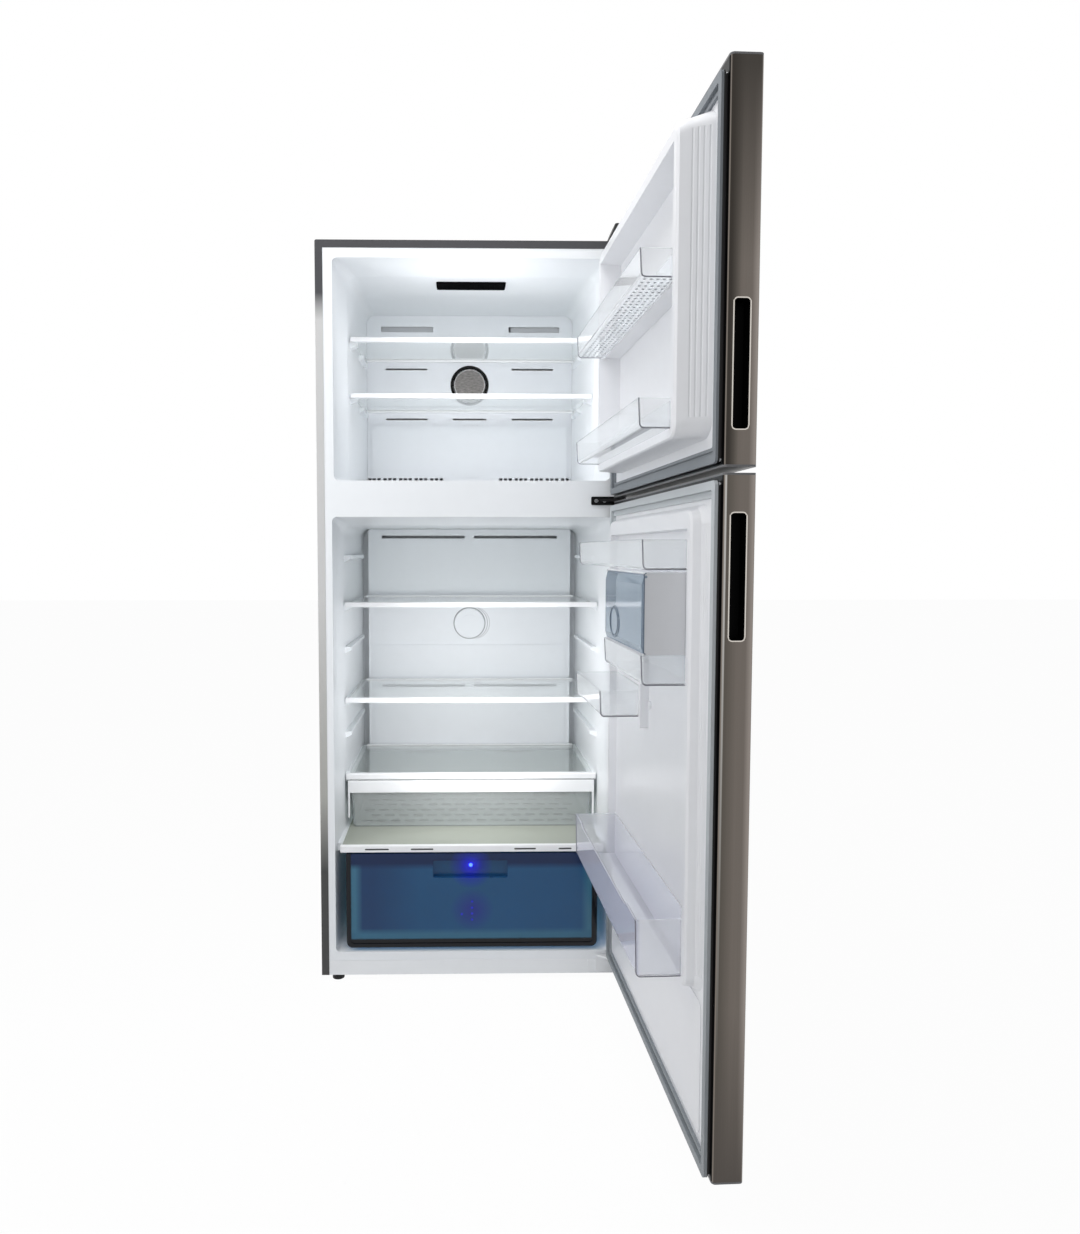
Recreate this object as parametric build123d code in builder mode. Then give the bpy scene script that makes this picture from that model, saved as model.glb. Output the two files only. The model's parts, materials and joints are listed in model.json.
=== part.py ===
from build123d import *
import os
from math import cos, hypot, radians, sin

os.makedirs("parts", exist_ok=True)

# A two-door refrigerator with the freezer on top, standing with both doors open.
# All sizes are millimetres. Cabinet coordinates: x to the right from the middle,
# y into the cabinet from its front face, z up from the floor. A door piece is drawn
# in the same coordinates, as it lies when the door is shut.

# Whole cabinet
cabinet_width = 700
cabinet_top = 1691
cabinet_bottom = 14
cabinet_depth = 590
cabinet_corner = 4
steel = 0.8
flange_width = 17
liner_wall = 2
moulding = 2.5
fit = 0.3
running = 0.05

# Freezer compartment
freezer_mouth_half = 312
freezer_mouth_low = 1160
freezer_mouth_high = 1652.5
freezer_kink_depth = 110
freezer_kink_half = 294
freezer_back_half = 279
freezer_floor = 1152
freezer_ceiling = 1645
freezer_back = 520
mouth_corner = 11
pocket_corner = 24

# Fresh food compartment
fridge_mouth_half = 317
fridge_mouth_low = 68
fridge_mouth_high = 1078
fridge_lip_depth = 45
fridge_kink_depth = 130
fridge_kink_half = 311
fridge_back_half = 304
fridge_floor = 73
fridge_ceiling = 1063
fridge_back = 505
hump_front = 315
hump_top = 306
hump_round = 18

# Machine space under the step
machine_half = 330
machine_front = 375
machine_top = 246
pan_steel = 1.2
front_rail_top = 48
front_rail_depth = 12

# Panels in front of the evaporator and of the air duct
evaporator_face = 430
evaporator_step_height = 1345
evaporator_step = 4
duct_face = 460
duct_step_height = 735
duct_step = 3
duct_low = 309
fan_height = 1457
fan_ring_radius = 52.5
fan_disc_radius = 43
fan_bore_radius = 48
rotor_radius = 44
rotor_blades = 5
blade_thickness = 2
shaft_radius = 2.5
disc_cover_height = 797
disc_cover_radius = 43

# Shelves: height of the top of each front trim, and how tall that trim is
shelf_front = 128
glass_thickness = 4
glass_sunk = 2.5
trim_depth = 14
freezer_shelf_back = 350
freezer_shelf_tops = {"upper": 1511, "lower": 1378}
freezer_trim_tall = 11
fridge_shelf_back = 445
fridge_shelf_tops = {"upper": 877, "middle": 642}
fridge_trim_tall = 12.5
chiller_shelf_top = 454.5
chiller_trim_tall = 15
ledge_tall = 8
ledge_width = 16
short_ledge = 22
long_ledge = 62
shelf_side_gap = 4

# Chiller tray and crisper
chiller_front_low = 407
chiller_front_high = 437
chiller_half = 300
chiller_back = 440
crisper_cover_top = 320.4
crisper_cover_tall = 17
crisper_glass_back = 455
crisper_front = 5
crisper_half = 292
crisper_low = 77.5
crisper_high = 300
crisper_back = 305
crisper_corner = 14
crisper_grip = (-93, 85, 239, 285)
crisper_grip_depth = 16
crisper_frame = 9
crisper_lip = 13

# Doors, drawn shut
door_half = cabinet_width / 2
door_front = -58
door_back = -10
door_corner = 6
door_lip = 15
cap_thickness = 3
freezer_door_low = 1120
freezer_door_high = 1684
fridge_door_low = 66
fridge_door_high = 1111.5
open_angle = 92
hinge_x = 338
hinge_y = -30
pin_radius = 4
pin_length = 16
bush_wall = 5
freezer_seal = (1126, 1667)
fridge_seal = (67.5, 1102)
seal_inset = 8
seal_bead = 13
seal_base = 22
gasket_gap = 0.4
door_sheet = 1.5

# Raised ring moulded into each door liner
ring_half = 304
ring_top_half = 288
ring_wall = 24
ring_round = 14
recess_corner = 1
recess_floor = -2
ring_shoulder = 3
recess_high_bar = 36
flute_count = 4
flute_radius = 3
flute_sunk = 0.6

# Handle pockets in the free edge of each door
pocket_near = -44.6
pocket_far = -20.4
pocket_deep = 24
handle_wall = 1.5
freezer_handle = (1172, 1354)
fridge_handle = (873, 1056)

# Door balconies: z range of each, and how far each one stands into the cabinet
balcony_half = 262
balcony_lean = 2
balcony_corner = 7
freezer_balconies = {"upper": (1409, 1451), "lower": (1186, 1231)}
freezer_balcony_front = 90
top_balcony = (973, 1019)
utility_balcony_z = (796, 842)
upper_front = 82
utility_box_top = 969
flap_thickness = 2.5
flap_pin_radius = 2
half_balcony_z = (692, 741)
half_front = 87
bottle_balcony_z = (338, 429)
bottle_front = 86
bottle_dip = 6
rib_half = 7
rib_centre = 9
pip_reach = 5
pip_tall = 3.5
boss_place = (-8, 718)
boss_radius = 7.5

# The two rings: the lowest bin of each door stands on the bottom bar of its ring.
# The freezer bins stand in front of moulded belts across the recess.
belt_face = 32
belt_over = 8
freezer_ring = {
    "low": 1168,
    "high": 1641,
    "rise": 42,
    "lean_low": 1,
    "lean_high": 8,
    "bar_top": freezer_balconies["lower"][0],
    "belts": [
        (freezer_balconies["upper"][0], freezer_balconies["upper"][1] + belt_over),
        (freezer_balconies["lower"][0] - belt_over, freezer_balconies["lower"][1] + belt_over),
    ],
    "seat": belt_face,
}
fridge_ring = {
    "low": 323,
    "high": 1072,
    "rise": 14,
    "lean_low": 1,
    "lean_high": 5,
    "bar_top": bottle_balcony_z[0],
    "belts": [],
    "seat": recess_floor,
}

# Hinges
hinge_plate = 3
nose_radius = 7
top_bracket_back = 70
top_cover_left = 303
top_cover_right = 348
top_cover_front = -46
top_cover_back = 72
top_cover_high = 1722
mid_plate_low = 1105
mid_plate_high = 1124
mid_plate_left = 270
arm_thickness = 5
mid_arm_low = 1113.3
bottom_arm_low = 56
bottom_plate_low = 20

# Feet and rollers
foot_x = 314
foot_depths = {-1: 20, 1: 48}
foot_radius = 14
foot_stem_radius = 4
foot_stem_top = 44
roller_radius = 13
roller_x = 312
roller_y = 555
roller_width = 14
axle_radius = 3
cheek = 3

# Frames: the cabinet stands so that the open model is centred over the origin
turn = radians(open_angle)
swept_right = hinge_x + (door_half + hinge_x) * sin(turn - radians(90)) + (hinge_y - door_front)
swept_front = hinge_y - (door_half + hinge_x) * sin(turn) + (door_back - hinge_y) * cos(turn)
cabinet = Plane(
    origin=(
        -(swept_right - cabinet_width / 2) / 2,
        -(swept_front + cabinet_depth) / 2,
        0,
    )
)
hinge_line = Plane(
    origin=cabinet.from_local_coords((hinge_x, hinge_y, 0)),
    x_dir=(cos(turn), sin(turn), 0),
)
door = Plane(
    origin=hinge_line.from_local_coords((-hinge_x, -hinge_y, 0)),
    x_dir=hinge_line.x_dir,
)
drawn = Plane.XY


def level(frame, height):
    """Plane for a plan view at a height"""
    return frame.offset(height)


def upright(frame, depth):
    """Plane for a front view at a depth: x across, y up, extruding to the front"""
    origin = frame.from_local_coords((0, depth, 0))
    return Plane(origin=origin, x_dir=frame.x_dir, z_dir=frame.y_dir * -1)


def sideways(frame, across):
    """Plane for a side view: x into the cabinet, y up, extruding to the right"""
    origin = frame.from_local_coords((across, 0, 0))
    return Plane(origin=origin, x_dir=frame.y_dir, z_dir=frame.x_dir)


def patch(across, up, corner=0, mode=Mode.ADD):
    """Rectangle between two pairs of sketch coordinates, with round corners if asked"""
    with Locations(((across[0] + across[1]) / 2, (up[0] + up[1]) / 2)):
        if corner > 0:
            RectangleRounded(across[1] - across[0], up[1] - up[0], corner, mode=mode)
        else:
            Rectangle(across[1] - across[0], up[1] - up[0], mode=mode)


def slab(x, y, z, mode=Mode.ADD):
    """Block between pairs of coordinates in the frame of the part being built"""
    with Locations(((x[0] + x[1]) / 2, (y[0] + y[1]) / 2, (z[0] + z[1]) / 2)):
        Box(x[1] - x[0], y[1] - y[0], z[1] - z[0], mode=mode)


def funnel(frame, stations, mode=Mode.ADD):
    """Loft through round-cornered rectangles (depth, half width, low, high, corner)"""
    sections = []
    for depth, half, low, high, corner in stations:
        with BuildSketch(upright(frame, depth)) as section:
            patch((-half, half), (low, high), corner)
        sections.append(section.sketch)
    loft(sections, ruled=True, mode=mode)


def half_width_at(stations, depth):
    """Half width of a funnel at a depth"""
    for near, far in zip(stations, stations[1:]):
        if depth <= far[0]:
            share = (depth - near[0]) / (far[0] - near[0])
            return near[1] + share * (far[1] - near[1])
    return stations[-1][1]


def save(piece, name):
    """Label a finished piece and write it"""
    piece.part.label = name
    export_step(piece.part, f"parts/{name}.step")


# Compartment shapes

freezer_stations = [
    (steel, freezer_mouth_half, freezer_mouth_low, freezer_mouth_high, mouth_corner),
    (freezer_kink_depth, freezer_kink_half, freezer_floor, freezer_ceiling, pocket_corner),
    (freezer_back, freezer_back_half, freezer_floor, freezer_ceiling, pocket_corner),
]
fridge_stations = [
    (steel, fridge_mouth_half, fridge_mouth_low, fridge_mouth_high, mouth_corner),
    (
        fridge_lip_depth,
        fridge_mouth_half - 3,
        fridge_floor,
        fridge_mouth_high - 6,
        mouth_corner,
    ),
    (fridge_kink_depth, fridge_kink_half, fridge_floor, fridge_ceiling, pocket_corner),
    (fridge_back, fridge_back_half, fridge_floor, fridge_ceiling, pocket_corner),
]


def grown(stations, growth):
    """The same funnel with a wall's thickness added all round and at the back"""
    last = len(stations) - 1
    wider = []
    for index, (depth, half, low, high, corner) in enumerate(stations):
        back = depth + (growth if index == last else 0)
        wider.append((back, half + growth, low - growth, high + growth, corner + growth))
    return wider


def freezer_pocket(growth):
    """Freezer compartment as a solid, in drawn coordinates"""
    with BuildPart() as pocket:
        funnel(drawn, grown(freezer_stations, growth))
    return pocket.part


def fridge_pocket(growth):
    """Fresh food compartment as a solid, with the step over the machine space"""
    reach = fridge_mouth_half + 50
    with BuildPart() as pocket:
        funnel(drawn, grown(fridge_stations, growth))
        with BuildSketch(sideways(drawn, -reach)) as step:
            patch(
                (hump_front + growth, fridge_back + 50),
                (0, hump_top - growth),
            )
            front_top = step.vertices().group_by(Axis.Y)[-1].sort_by(Axis.X)[0]
            fillet(front_top, hump_round - growth)
        extrude(amount=2 * reach, mode=Mode.SUBTRACT)
    return pocket.part


def wrapper_outline(inset, low):
    """Front view of the cabinet body, drawn in from its outside"""
    half = cabinet_width / 2 - inset
    patch((-half, half), (low, cabinet_top - inset))
    tops = [point for point in vertices() if point.Y > cabinet_top - inset - 1]
    fillet(tops, cabinet_corner - inset)


# Cabinet shell

flange_inner = cabinet_width / 2 - flange_width
flange_top = cabinet_top - flange_width
with BuildPart(cabinet) as outer_wrapper:
    with BuildSketch(upright(cabinet, cabinet_depth)):
        wrapper_outline(0, cabinet_bottom)
    extrude(amount=cabinet_depth)
    with BuildSketch(upright(cabinet, cabinet_depth)):
        wrapper_outline(steel, cabinet_bottom - 20)
    extrude(amount=cabinet_depth - steel, mode=Mode.SUBTRACT)
    with BuildSketch(upright(cabinet, steel)):
        patch((-flange_inner, flange_inner), (cabinet_bottom - 20, flange_top))
    extrude(amount=2 * steel, mode=Mode.SUBTRACT)
save(outer_wrapper, "outer_wrapper")

body_half = cabinet_width / 2 - steel
body_back = cabinet_depth - steel
with BuildPart(cabinet) as back_panel:
    with BuildSketch(sideways(cabinet, -body_half)):
        patch((body_back, cabinet_depth), (machine_top, cabinet_top - steel - cabinet_corner))
        patch((machine_front, cabinet_depth), (machine_top - steel, machine_top))
        patch((machine_front, machine_front + steel), (cabinet_bottom + pan_steel, machine_top))
    extrude(amount=2 * body_half)
    slab(
        (-body_half, -machine_half),
        (0, body_back),
        (0, machine_top),
        mode=Mode.SUBTRACT,
    )
    slab(
        (machine_half, body_half),
        (0, body_back),
        (0, machine_top),
        mode=Mode.SUBTRACT,
    )
save(back_panel, "back_panel")

roller_slot_half = roller_radius + 3
roller_gap = roller_width / 2 + fit
with BuildPart(cabinet) as base_frame:
    with BuildSketch(level(cabinet, cabinet_bottom)):
        patch((-body_half, body_half), (steel, cabinet_depth))
        for side in (-1, 1):
            with Locations((side * roller_x, roller_y)):
                Rectangle(2 * roller_gap, 2 * roller_slot_half, mode=Mode.SUBTRACT)
            with Locations((side * foot_x, foot_depths[side])):
                Circle(foot_stem_radius + running, mode=Mode.SUBTRACT)
        with Locations((0, machine_front + 110)):
            with GridLocations(60, 70, 8, 2):
                SlotOverall(40, 10, rotation=90, mode=Mode.SUBTRACT)
    extrude(amount=pan_steel)
    with BuildSketch(sideways(cabinet, -flange_inner)):
        patch((steel, front_rail_depth), (cabinet_bottom, front_rail_top), 1.5)
        patch((steel, front_rail_depth), (cabinet_bottom, cabinet_bottom + 8))
    extrude(amount=2 * flange_inner)
    for side in (-1, 1):
        with BuildSketch(level(cabinet, cabinet_bottom)):
            with Locations((side * foot_x, foot_depths[side])):
                Circle(foot_stem_radius + running)
        extrude(amount=foot_stem_top, mode=Mode.SUBTRACT)
        for face in (-1, 1):
            cheek_middle = side * roller_x + face * (roller_gap + cheek / 2)
            with BuildSketch(sideways(cabinet, cheek_middle - cheek / 2)):
                with Locations((roller_y, roller_radius)):
                    Circle(8)
                patch((roller_y - 8, roller_y + 8), (roller_radius, cabinet_bottom + 9))
            extrude(amount=cheek)
        with BuildSketch(sideways(cabinet, side * roller_x - roller_gap - cheek)):
            with Locations((roller_y, roller_radius)):
                Circle(axle_radius)
        extrude(amount=2 * (roller_gap + cheek))
save(base_frame, "base_frame")

with BuildPart(cabinet) as rear_rollers:
    for side in (-1, 1):
        with BuildSketch(sideways(cabinet, side * roller_x - roller_width / 2)):
            with Locations((roller_y, roller_radius)):
                Circle(roller_radius)
                Circle(axle_radius + running, mode=Mode.SUBTRACT)
        extrude(amount=roller_width)
        with BuildSketch(sideways(cabinet, side * roller_x - 2)):
            with Locations((roller_y, roller_radius)):
                Circle(roller_radius)
                Circle(roller_radius - 2, mode=Mode.SUBTRACT)
        extrude(amount=4, mode=Mode.SUBTRACT)
save(rear_rollers, "rear_rollers")

for foot_side, foot_name in ((-1, "front_foot_left"), (1, "front_foot_right")):
    foot_place = (foot_side * foot_x, foot_depths[foot_side])
    with BuildPart(cabinet) as front_foot:
        with Locations((*foot_place, cabinet_bottom / 2 - fit / 2)):
            Cylinder(foot_radius, cabinet_bottom - fit)
        chamfer(front_foot.edges().filter_by(GeomType.CIRCLE).group_by(Axis.Z)[-1], 3)
        with BuildSketch(level(cabinet, 2)):
            with Locations(foot_place):
                with PolarLocations(foot_radius, 12):
                    Circle(1.1)
        extrude(amount=6, mode=Mode.SUBTRACT)
        with BuildSketch(level(cabinet, cabinet_bottom - 4)):
            with Locations(foot_place):
                Circle(foot_stem_radius)
        extrude(amount=foot_stem_top - cabinet_bottom)
    save(front_foot, foot_name)

foam_front = steel + liner_wall
with BuildPart(cabinet) as cabinet_foam:
    with BuildSketch(upright(cabinet, body_back)):
        wrapper_outline(steel, cabinet_bottom + pan_steel)
    extrude(amount=body_back - foam_front)
    slab(
        (-flange_inner, flange_inner),
        (0, front_rail_depth),
        (0, front_rail_top),
        mode=Mode.SUBTRACT,
    )
    slab(
        (-machine_half, machine_half),
        (machine_front, cabinet_depth),
        (0, machine_top),
        mode=Mode.SUBTRACT,
    )
    add(freezer_pocket(liner_wall), mode=Mode.SUBTRACT)
    add(fridge_pocket(liner_wall), mode=Mode.SUBTRACT)
    for side in (-1, 1):
        slab(
            (side * roller_x - 18, side * roller_x + 18),
            (roller_y - 22, cabinet_depth),
            (0, 40),
            mode=Mode.SUBTRACT,
        )
        with Locations((side * foot_x, foot_depths[side], foot_stem_top / 2)):
            Cylinder(foot_stem_radius + 3, foot_stem_top + 10, mode=Mode.SUBTRACT)
save(cabinet_foam, "cabinet_foam")

# Ledges, stops and rails that the liner holds inside each compartment

freezer_glass_half = half_width_at(freezer_stations, freezer_shelf_back) - shelf_side_gap / 2
fridge_glass_half = half_width_at(fridge_stations, fridge_shelf_back) - shelf_side_gap
freezer_ledge_inner = freezer_glass_half - ledge_width / 2
fridge_ledge_inner = fridge_glass_half - ledge_width / 2
ledge_start = shelf_front + trim_depth + 8


def glass_low(trim_top):
    """Underside of a shelf's glass"""
    return trim_top - glass_sunk - glass_thickness


def ledges(inner, outer, near, far, top):
    """A pair of side ledges, as cuts in a compartment's space"""
    for side in (-1, 1):
        with BuildSketch(upright(drawn, near)) as ledge:
            with BuildLine():
                Polyline(
                    (side * inner, top),
                    (side * outer, top),
                    (side * outer, top - ledge_tall - (outer - inner) / 2),
                    (side * inner, top - ledge_tall),
                    close=True,
                )
            make_face()
        extrude(ledge.sketch, amount=near - far, mode=Mode.SUBTRACT)


with BuildPart() as freezer_space:
    add(freezer_pocket(0))
    for top in freezer_shelf_tops.values():
        for near, far in (
            (ledge_start, ledge_start + short_ledge),
            (freezer_shelf_back - long_ledge, freezer_shelf_back),
        ):
            ledges(
                freezer_ledge_inner,
                freezer_mouth_half,
                near,
                far,
                glass_low(top) - fit,
            )
        for side in (-1, 1):
            with Locations((side * freezer_kink_half, freezer_shelf_back + 18, top - 5)):
                Cylinder(16, 40, rotation=(0, 90, 0), mode=Mode.SUBTRACT)

with BuildPart() as fridge_space:
    add(fridge_pocket(0))
    for top in (*fridge_shelf_tops.values(), chiller_shelf_top):
        ledges(
            fridge_ledge_inner,
            fridge_mouth_half,
            ledge_start,
            fridge_shelf_back,
            glass_low(top) - fit,
        )
    for top in (990, 765, 555):
        ledges(
            fridge_ledge_inner + 2,
            fridge_mouth_half,
            ledge_start,
            fridge_shelf_back,
            top,
        )
    ledges(
        fridge_ledge_inner,
        fridge_mouth_half,
        crisper_front + 25,
        crisper_glass_back,
        crisper_cover_top - glass_thickness,
    )
    for side in (-1, 1):
        slab(
            (side * 205 - 6, side * 205 + 6),
            (fridge_lip_depth + 15, hump_front),
            (fridge_floor - 5, crisper_low - fit),
            mode=Mode.SUBTRACT,
        )

plate_half = flange_inner + 8
with BuildPart(cabinet) as inner_liner:
    with BuildSketch(upright(cabinet, foam_front)):
        patch((-plate_half, plate_half), (front_rail_top, flange_top + 8))
        patch((-plate_half, -flange_inner), (0, foot_stem_top + 20), mode=Mode.SUBTRACT)
        patch((flange_inner, plate_half), (0, foot_stem_top + 20), mode=Mode.SUBTRACT)
    extrude(amount=liner_wall)
    add(freezer_pocket(liner_wall))
    add(fridge_pocket(liner_wall))
    add(freezer_space.part, mode=Mode.SUBTRACT)
    add(fridge_space.part, mode=Mode.SUBTRACT)
save(inner_liner, "inner_liner")


# Air panels

def slot_row(frame, depth, boxes, through, corner=2):
    """Cut slots (x range, z range) through a panel"""
    with BuildSketch(upright(frame, depth)) as slots:
        for across, up in boxes:
            patch(across, up, corner)
    extrude(slots.sketch, amount=through, both=True, mode=Mode.SUBTRACT)


evaporator_half = half_width_at(freezer_stations, evaporator_face) - fit
panel_back = freezer_back - 45
with BuildPart(cabinet) as evaporator_cover:
    panel_stations = [
        (
            evaporator_face,
            evaporator_half,
            freezer_floor + fit,
            freezer_ceiling - fit,
            pocket_corner,
        ),
        (
            panel_back,
            half_width_at(freezer_stations, panel_back) - fit,
            freezer_floor + fit,
            freezer_ceiling - fit,
            pocket_corner,
        ),
    ]
    funnel(cabinet, panel_stations)
    hollow = [
        (evaporator_face + moulding, panel_stations[0][1] - moulding),
        (panel_back + 1, panel_stations[1][1] - moulding),
    ]
    hollow_stations = [
        (
            depth,
            half,
            freezer_floor + fit + moulding,
            freezer_ceiling - fit - moulding,
            pocket_corner - moulding,
        )
        for depth, half in hollow
    ]
    funnel(cabinet, hollow_stations, mode=Mode.SUBTRACT)
    with BuildSketch(upright(cabinet, evaporator_face)):
        patch(
            (-evaporator_half + 12, evaporator_half - 12),
            (freezer_floor + 20, evaporator_step_height),
            10,
        )
        with Locations((0, fan_height)):
            Circle(fan_ring_radius + fit, mode=Mode.SUBTRACT)
    extrude(amount=evaporator_step)
    slot_row(cabinet, evaporator_face, [((-243, -100), (1600, 1615))], 8)
    slot_row(cabinet, evaporator_face, [((107, 247), (1600, 1615))], 8)
    thin = [((side * 173 - 57, side * 173 + 57), (1497, 1502)) for side in (-1, 1)]
    thin += [((side * 173 - 57, side * 173 + 57), (1361, 1366)) for side in (-1, 1)]
    thin += [((-46.5, 46.5), (1361, 1366))]
    slot_row(cabinet, evaporator_face, thin, 8)
    comb = []
    for start in (-281, 82):
        for group in range(5):
            for tooth in range(3):
                left = start + group * 43 + tooth * 13
                comb.append(((left, left + 9), (1195, 1202)))
    slot_row(cabinet, evaporator_face, comb, 8, corner=0)
    with BuildSketch(upright(cabinet, evaporator_face)):
        with Locations((0, fan_height)):
            Circle(fan_bore_radius)
    extrude(amount=8, both=True, mode=Mode.SUBTRACT)
save(evaporator_cover, "evaporator_cover")

rotor_front = evaporator_face + 8
rotor_deep = 14
rotor_cap = 3
motor_front = rotor_front + rotor_deep + 2
motor_back = panel_back + 22
with BuildPart(cabinet) as fan_motor:
    with BuildSketch(upright(cabinet, motor_back)):
        with Locations((0, fan_height)):
            Circle(26)
    extrude(amount=motor_back - motor_front)
    fillet(fan_motor.edges().group_by(Axis.Y)[0], 4)
    with BuildSketch(upright(cabinet, motor_front)):
        with Locations((0, fan_height)):
            Circle(shaft_radius)
    extrude(amount=motor_front - rotor_front - rotor_cap - fit)
    arm_front = evaporator_face + moulding
    with BuildSketch(upright(cabinet, motor_front + 8)):
        with Locations((0, fan_height)):
            with PolarLocations(0, 3, start_angle=30):
                with Locations((40, 0)):
                    Rectangle(40, 9)
    extrude(amount=4)
    with BuildSketch(upright(cabinet, motor_front + 8)):
        with Locations((0, fan_height)):
            with PolarLocations(57, 3, start_angle=30):
                Circle(4.5)
    extrude(amount=motor_front + 8 - arm_front)
save(fan_motor, "fan_motor")

with BuildPart(cabinet) as fan_rotor:
    with BuildSketch(upright(cabinet, rotor_front + rotor_deep)):
        with Locations((0, fan_height)):
            Circle(15)
    extrude(amount=rotor_deep)
    fillet(fan_rotor.edges().group_by(Axis.Y)[0], 4)
    for blade in range(rotor_blades):
        for radius, pitch, chord in ((12, 42, 14), (28, 30, 22), (rotor_radius, 22, 26)):
            swing = radians(blade * 360 / rotor_blades)
            middle = cabinet.from_local_coords(
                (
                    radius * cos(swing),
                    rotor_front + rotor_deep / 2,
                    fan_height + radius * sin(swing),
                )
            )
            outward = Vector(cos(swing), 0, sin(swing))
            along = Vector(-sin(swing), 0, cos(swing)) * cos(radians(pitch))
            along += Vector(0, sin(radians(pitch)), 0)
            with BuildSketch(Plane(origin=middle, x_dir=along, z_dir=outward)):
                Rectangle(chord, blade_thickness)
        loft(ruled=True)
    with BuildSketch(upright(cabinet, rotor_front + rotor_deep)):
        with Locations((0, fan_height)):
            Circle(shaft_radius + running)
    extrude(amount=rotor_deep - rotor_cap, mode=Mode.SUBTRACT)
save(fan_rotor, "fan_rotor")

with BuildPart(cabinet) as fan_grille:
    with BuildSketch(upright(cabinet, evaporator_face)):
        with Locations((0, fan_height)):
            Circle(fan_ring_radius)
            Circle(fan_bore_radius - 1, mode=Mode.SUBTRACT)
    extrude(amount=2)
    with BuildSketch(upright(cabinet, evaporator_face + 4)):
        with Locations((0, fan_height)):
            Circle(fan_bore_radius)
            Circle(fan_bore_radius - 2, mode=Mode.SUBTRACT)
            with PolarLocations(0, 6):
                with Locations(((fan_disc_radius + fan_bore_radius) / 2 - 1, 0)):
                    Rectangle(fan_bore_radius - fan_disc_radius + 1, 2)
    extrude(amount=4)
    with BuildSketch(upright(cabinet, evaporator_face + 4)):
        with Locations((0, fan_height)):
            Circle(fan_disc_radius)
    extrude(amount=7)
    fillet(fan_grille.edges().filter_by(GeomType.CIRCLE).group_by(Axis.Y)[0], 2)
save(fan_grille, "fan_grille")

coil_front = panel_back + 4
coil_middle = coil_front + 17
with BuildPart(cabinet) as evaporator:
    rows = [freezer_floor + 38 + row * 42 for row in range(5)]
    for height in rows:
        with BuildSketch(sideways(cabinet, -225)):
            with Locations((coil_middle, height)):
                Circle(4)
        extrude(amount=450)
    for index, (under, over) in enumerate(zip(rows, rows[1:])):
        end = 225 if index % 2 == 0 else -225
        with BuildSketch(upright(cabinet, coil_middle)):
            with Locations((end, (under + over) / 2)):
                Circle((over - under) / 2 + 4)
                Circle((over - under) / 2 - 4, mode=Mode.SUBTRACT)
                with Locations((-end / abs(end) * 15, 0)):
                    Rectangle(30, 60, mode=Mode.SUBTRACT)
        extrude(amount=3.9, both=True)
    for fin in range(11):
        across = -200 + fin * 40
        slab(
            (across - 0.5, across + 0.5),
            (coil_front, freezer_back - 6),
            (rows[0] - 15, rows[-1] + 15),
        )
    for side in (-1, 1):
        slab(
            (side * 236 - 1.5, side * 236 + 1.5),
            (coil_front, freezer_back),
            (freezer_floor, rows[-1] + 20),
        )
        slab(
            (min(side * 220, side * 236), max(side * 220, side * 236)),
            (coil_middle - 3, coil_middle + 3),
            (rows[0] - 3, rows[0] + 3),
        )
        slab(
            (min(side * 220, side * 236), max(side * 220, side * 236)),
            (coil_middle - 3, coil_middle + 3),
            (rows[-1] - 3, rows[-1] + 3),
        )
save(evaporator, "evaporator")

with BuildPart(cabinet) as ceiling_light_strip:
    with BuildSketch(level(cabinet, freezer_ceiling)):
        patch((-84, 84), (141, 190), 6)
    extrude(amount=-5, taper=12)
    with BuildSketch(level(cabinet, freezer_ceiling - 5)):
        with Locations((0, 165)):
            with GridLocations(12, 0, 12, 1):
                SlotOverall(34, 5, rotation=90)
    extrude(amount=1.5, mode=Mode.SUBTRACT)
save(ceiling_light_strip, "ceiling_light_strip")

duct_half = 285
with BuildPart(cabinet) as air_duct_panel:
    with BuildSketch(upright(cabinet, fridge_back)):
        patch((-duct_half, duct_half), (duct_low, fridge_ceiling - 1), 6)
    extrude(amount=fridge_back - duct_face)
    with BuildSketch(upright(cabinet, fridge_back)):
        patch(
            (-duct_half + moulding, duct_half - moulding),
            (duct_low + moulding, fridge_ceiling - 1 - moulding),
            4,
        )
    extrude(amount=fridge_back - duct_face - moulding, mode=Mode.SUBTRACT)
    with BuildSketch(upright(cabinet, duct_face)):
        patch((-duct_half + 14, duct_half - 14), (duct_low + 12, duct_step_height), 8)
        with Locations((0, disc_cover_height)):
            Circle(disc_cover_radius + fit, mode=Mode.SUBTRACT)
    extrude(amount=duct_step)
    slots = []
    for side in (-1, 1):
        slots.append(((side * 130 - 117, side * 130 + 117), (1036, 1044)))
        slots.append(((side * 130 - 117, side * 130 + 117), (612, 620)))
        slots.append(((side * 129 - 49, side * 129 + 49), (421, 429)))
    slot_row(cabinet, duct_face, slots, 8)
    with BuildSketch(upright(cabinet, duct_face)):
        with Locations((0, disc_cover_height)):
            Circle(disc_cover_radius - 6)
    extrude(amount=8, both=True, mode=Mode.SUBTRACT)
save(air_duct_panel, "air_duct_panel")

with BuildPart(cabinet) as duct_cover_disc:
    with BuildSketch(upright(cabinet, duct_face)):
        with Locations((0, disc_cover_height)):
            Circle(disc_cover_radius)
    extrude(amount=6)
    fillet(duct_cover_disc.edges().group_by(Axis.Y)[0], 3)
    with BuildSketch(upright(cabinet, duct_face)):
        with Locations((0, disc_cover_height)):
            Circle(disc_cover_radius - 6)
            Circle(disc_cover_radius - 9, mode=Mode.SUBTRACT)
    extrude(amount=-moulding - 2)
    with BuildSketch(upright(cabinet, duct_face - 6)):
        with Locations((0, disc_cover_height)):
            Circle(disc_cover_radius - 10)
        with Locations((0, disc_cover_height - 8)):
            Circle(disc_cover_radius - 12, mode=Mode.SUBTRACT)
    extrude(amount=-1.5, mode=Mode.SUBTRACT)
save(duct_cover_disc, "duct_cover_disc")


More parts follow.
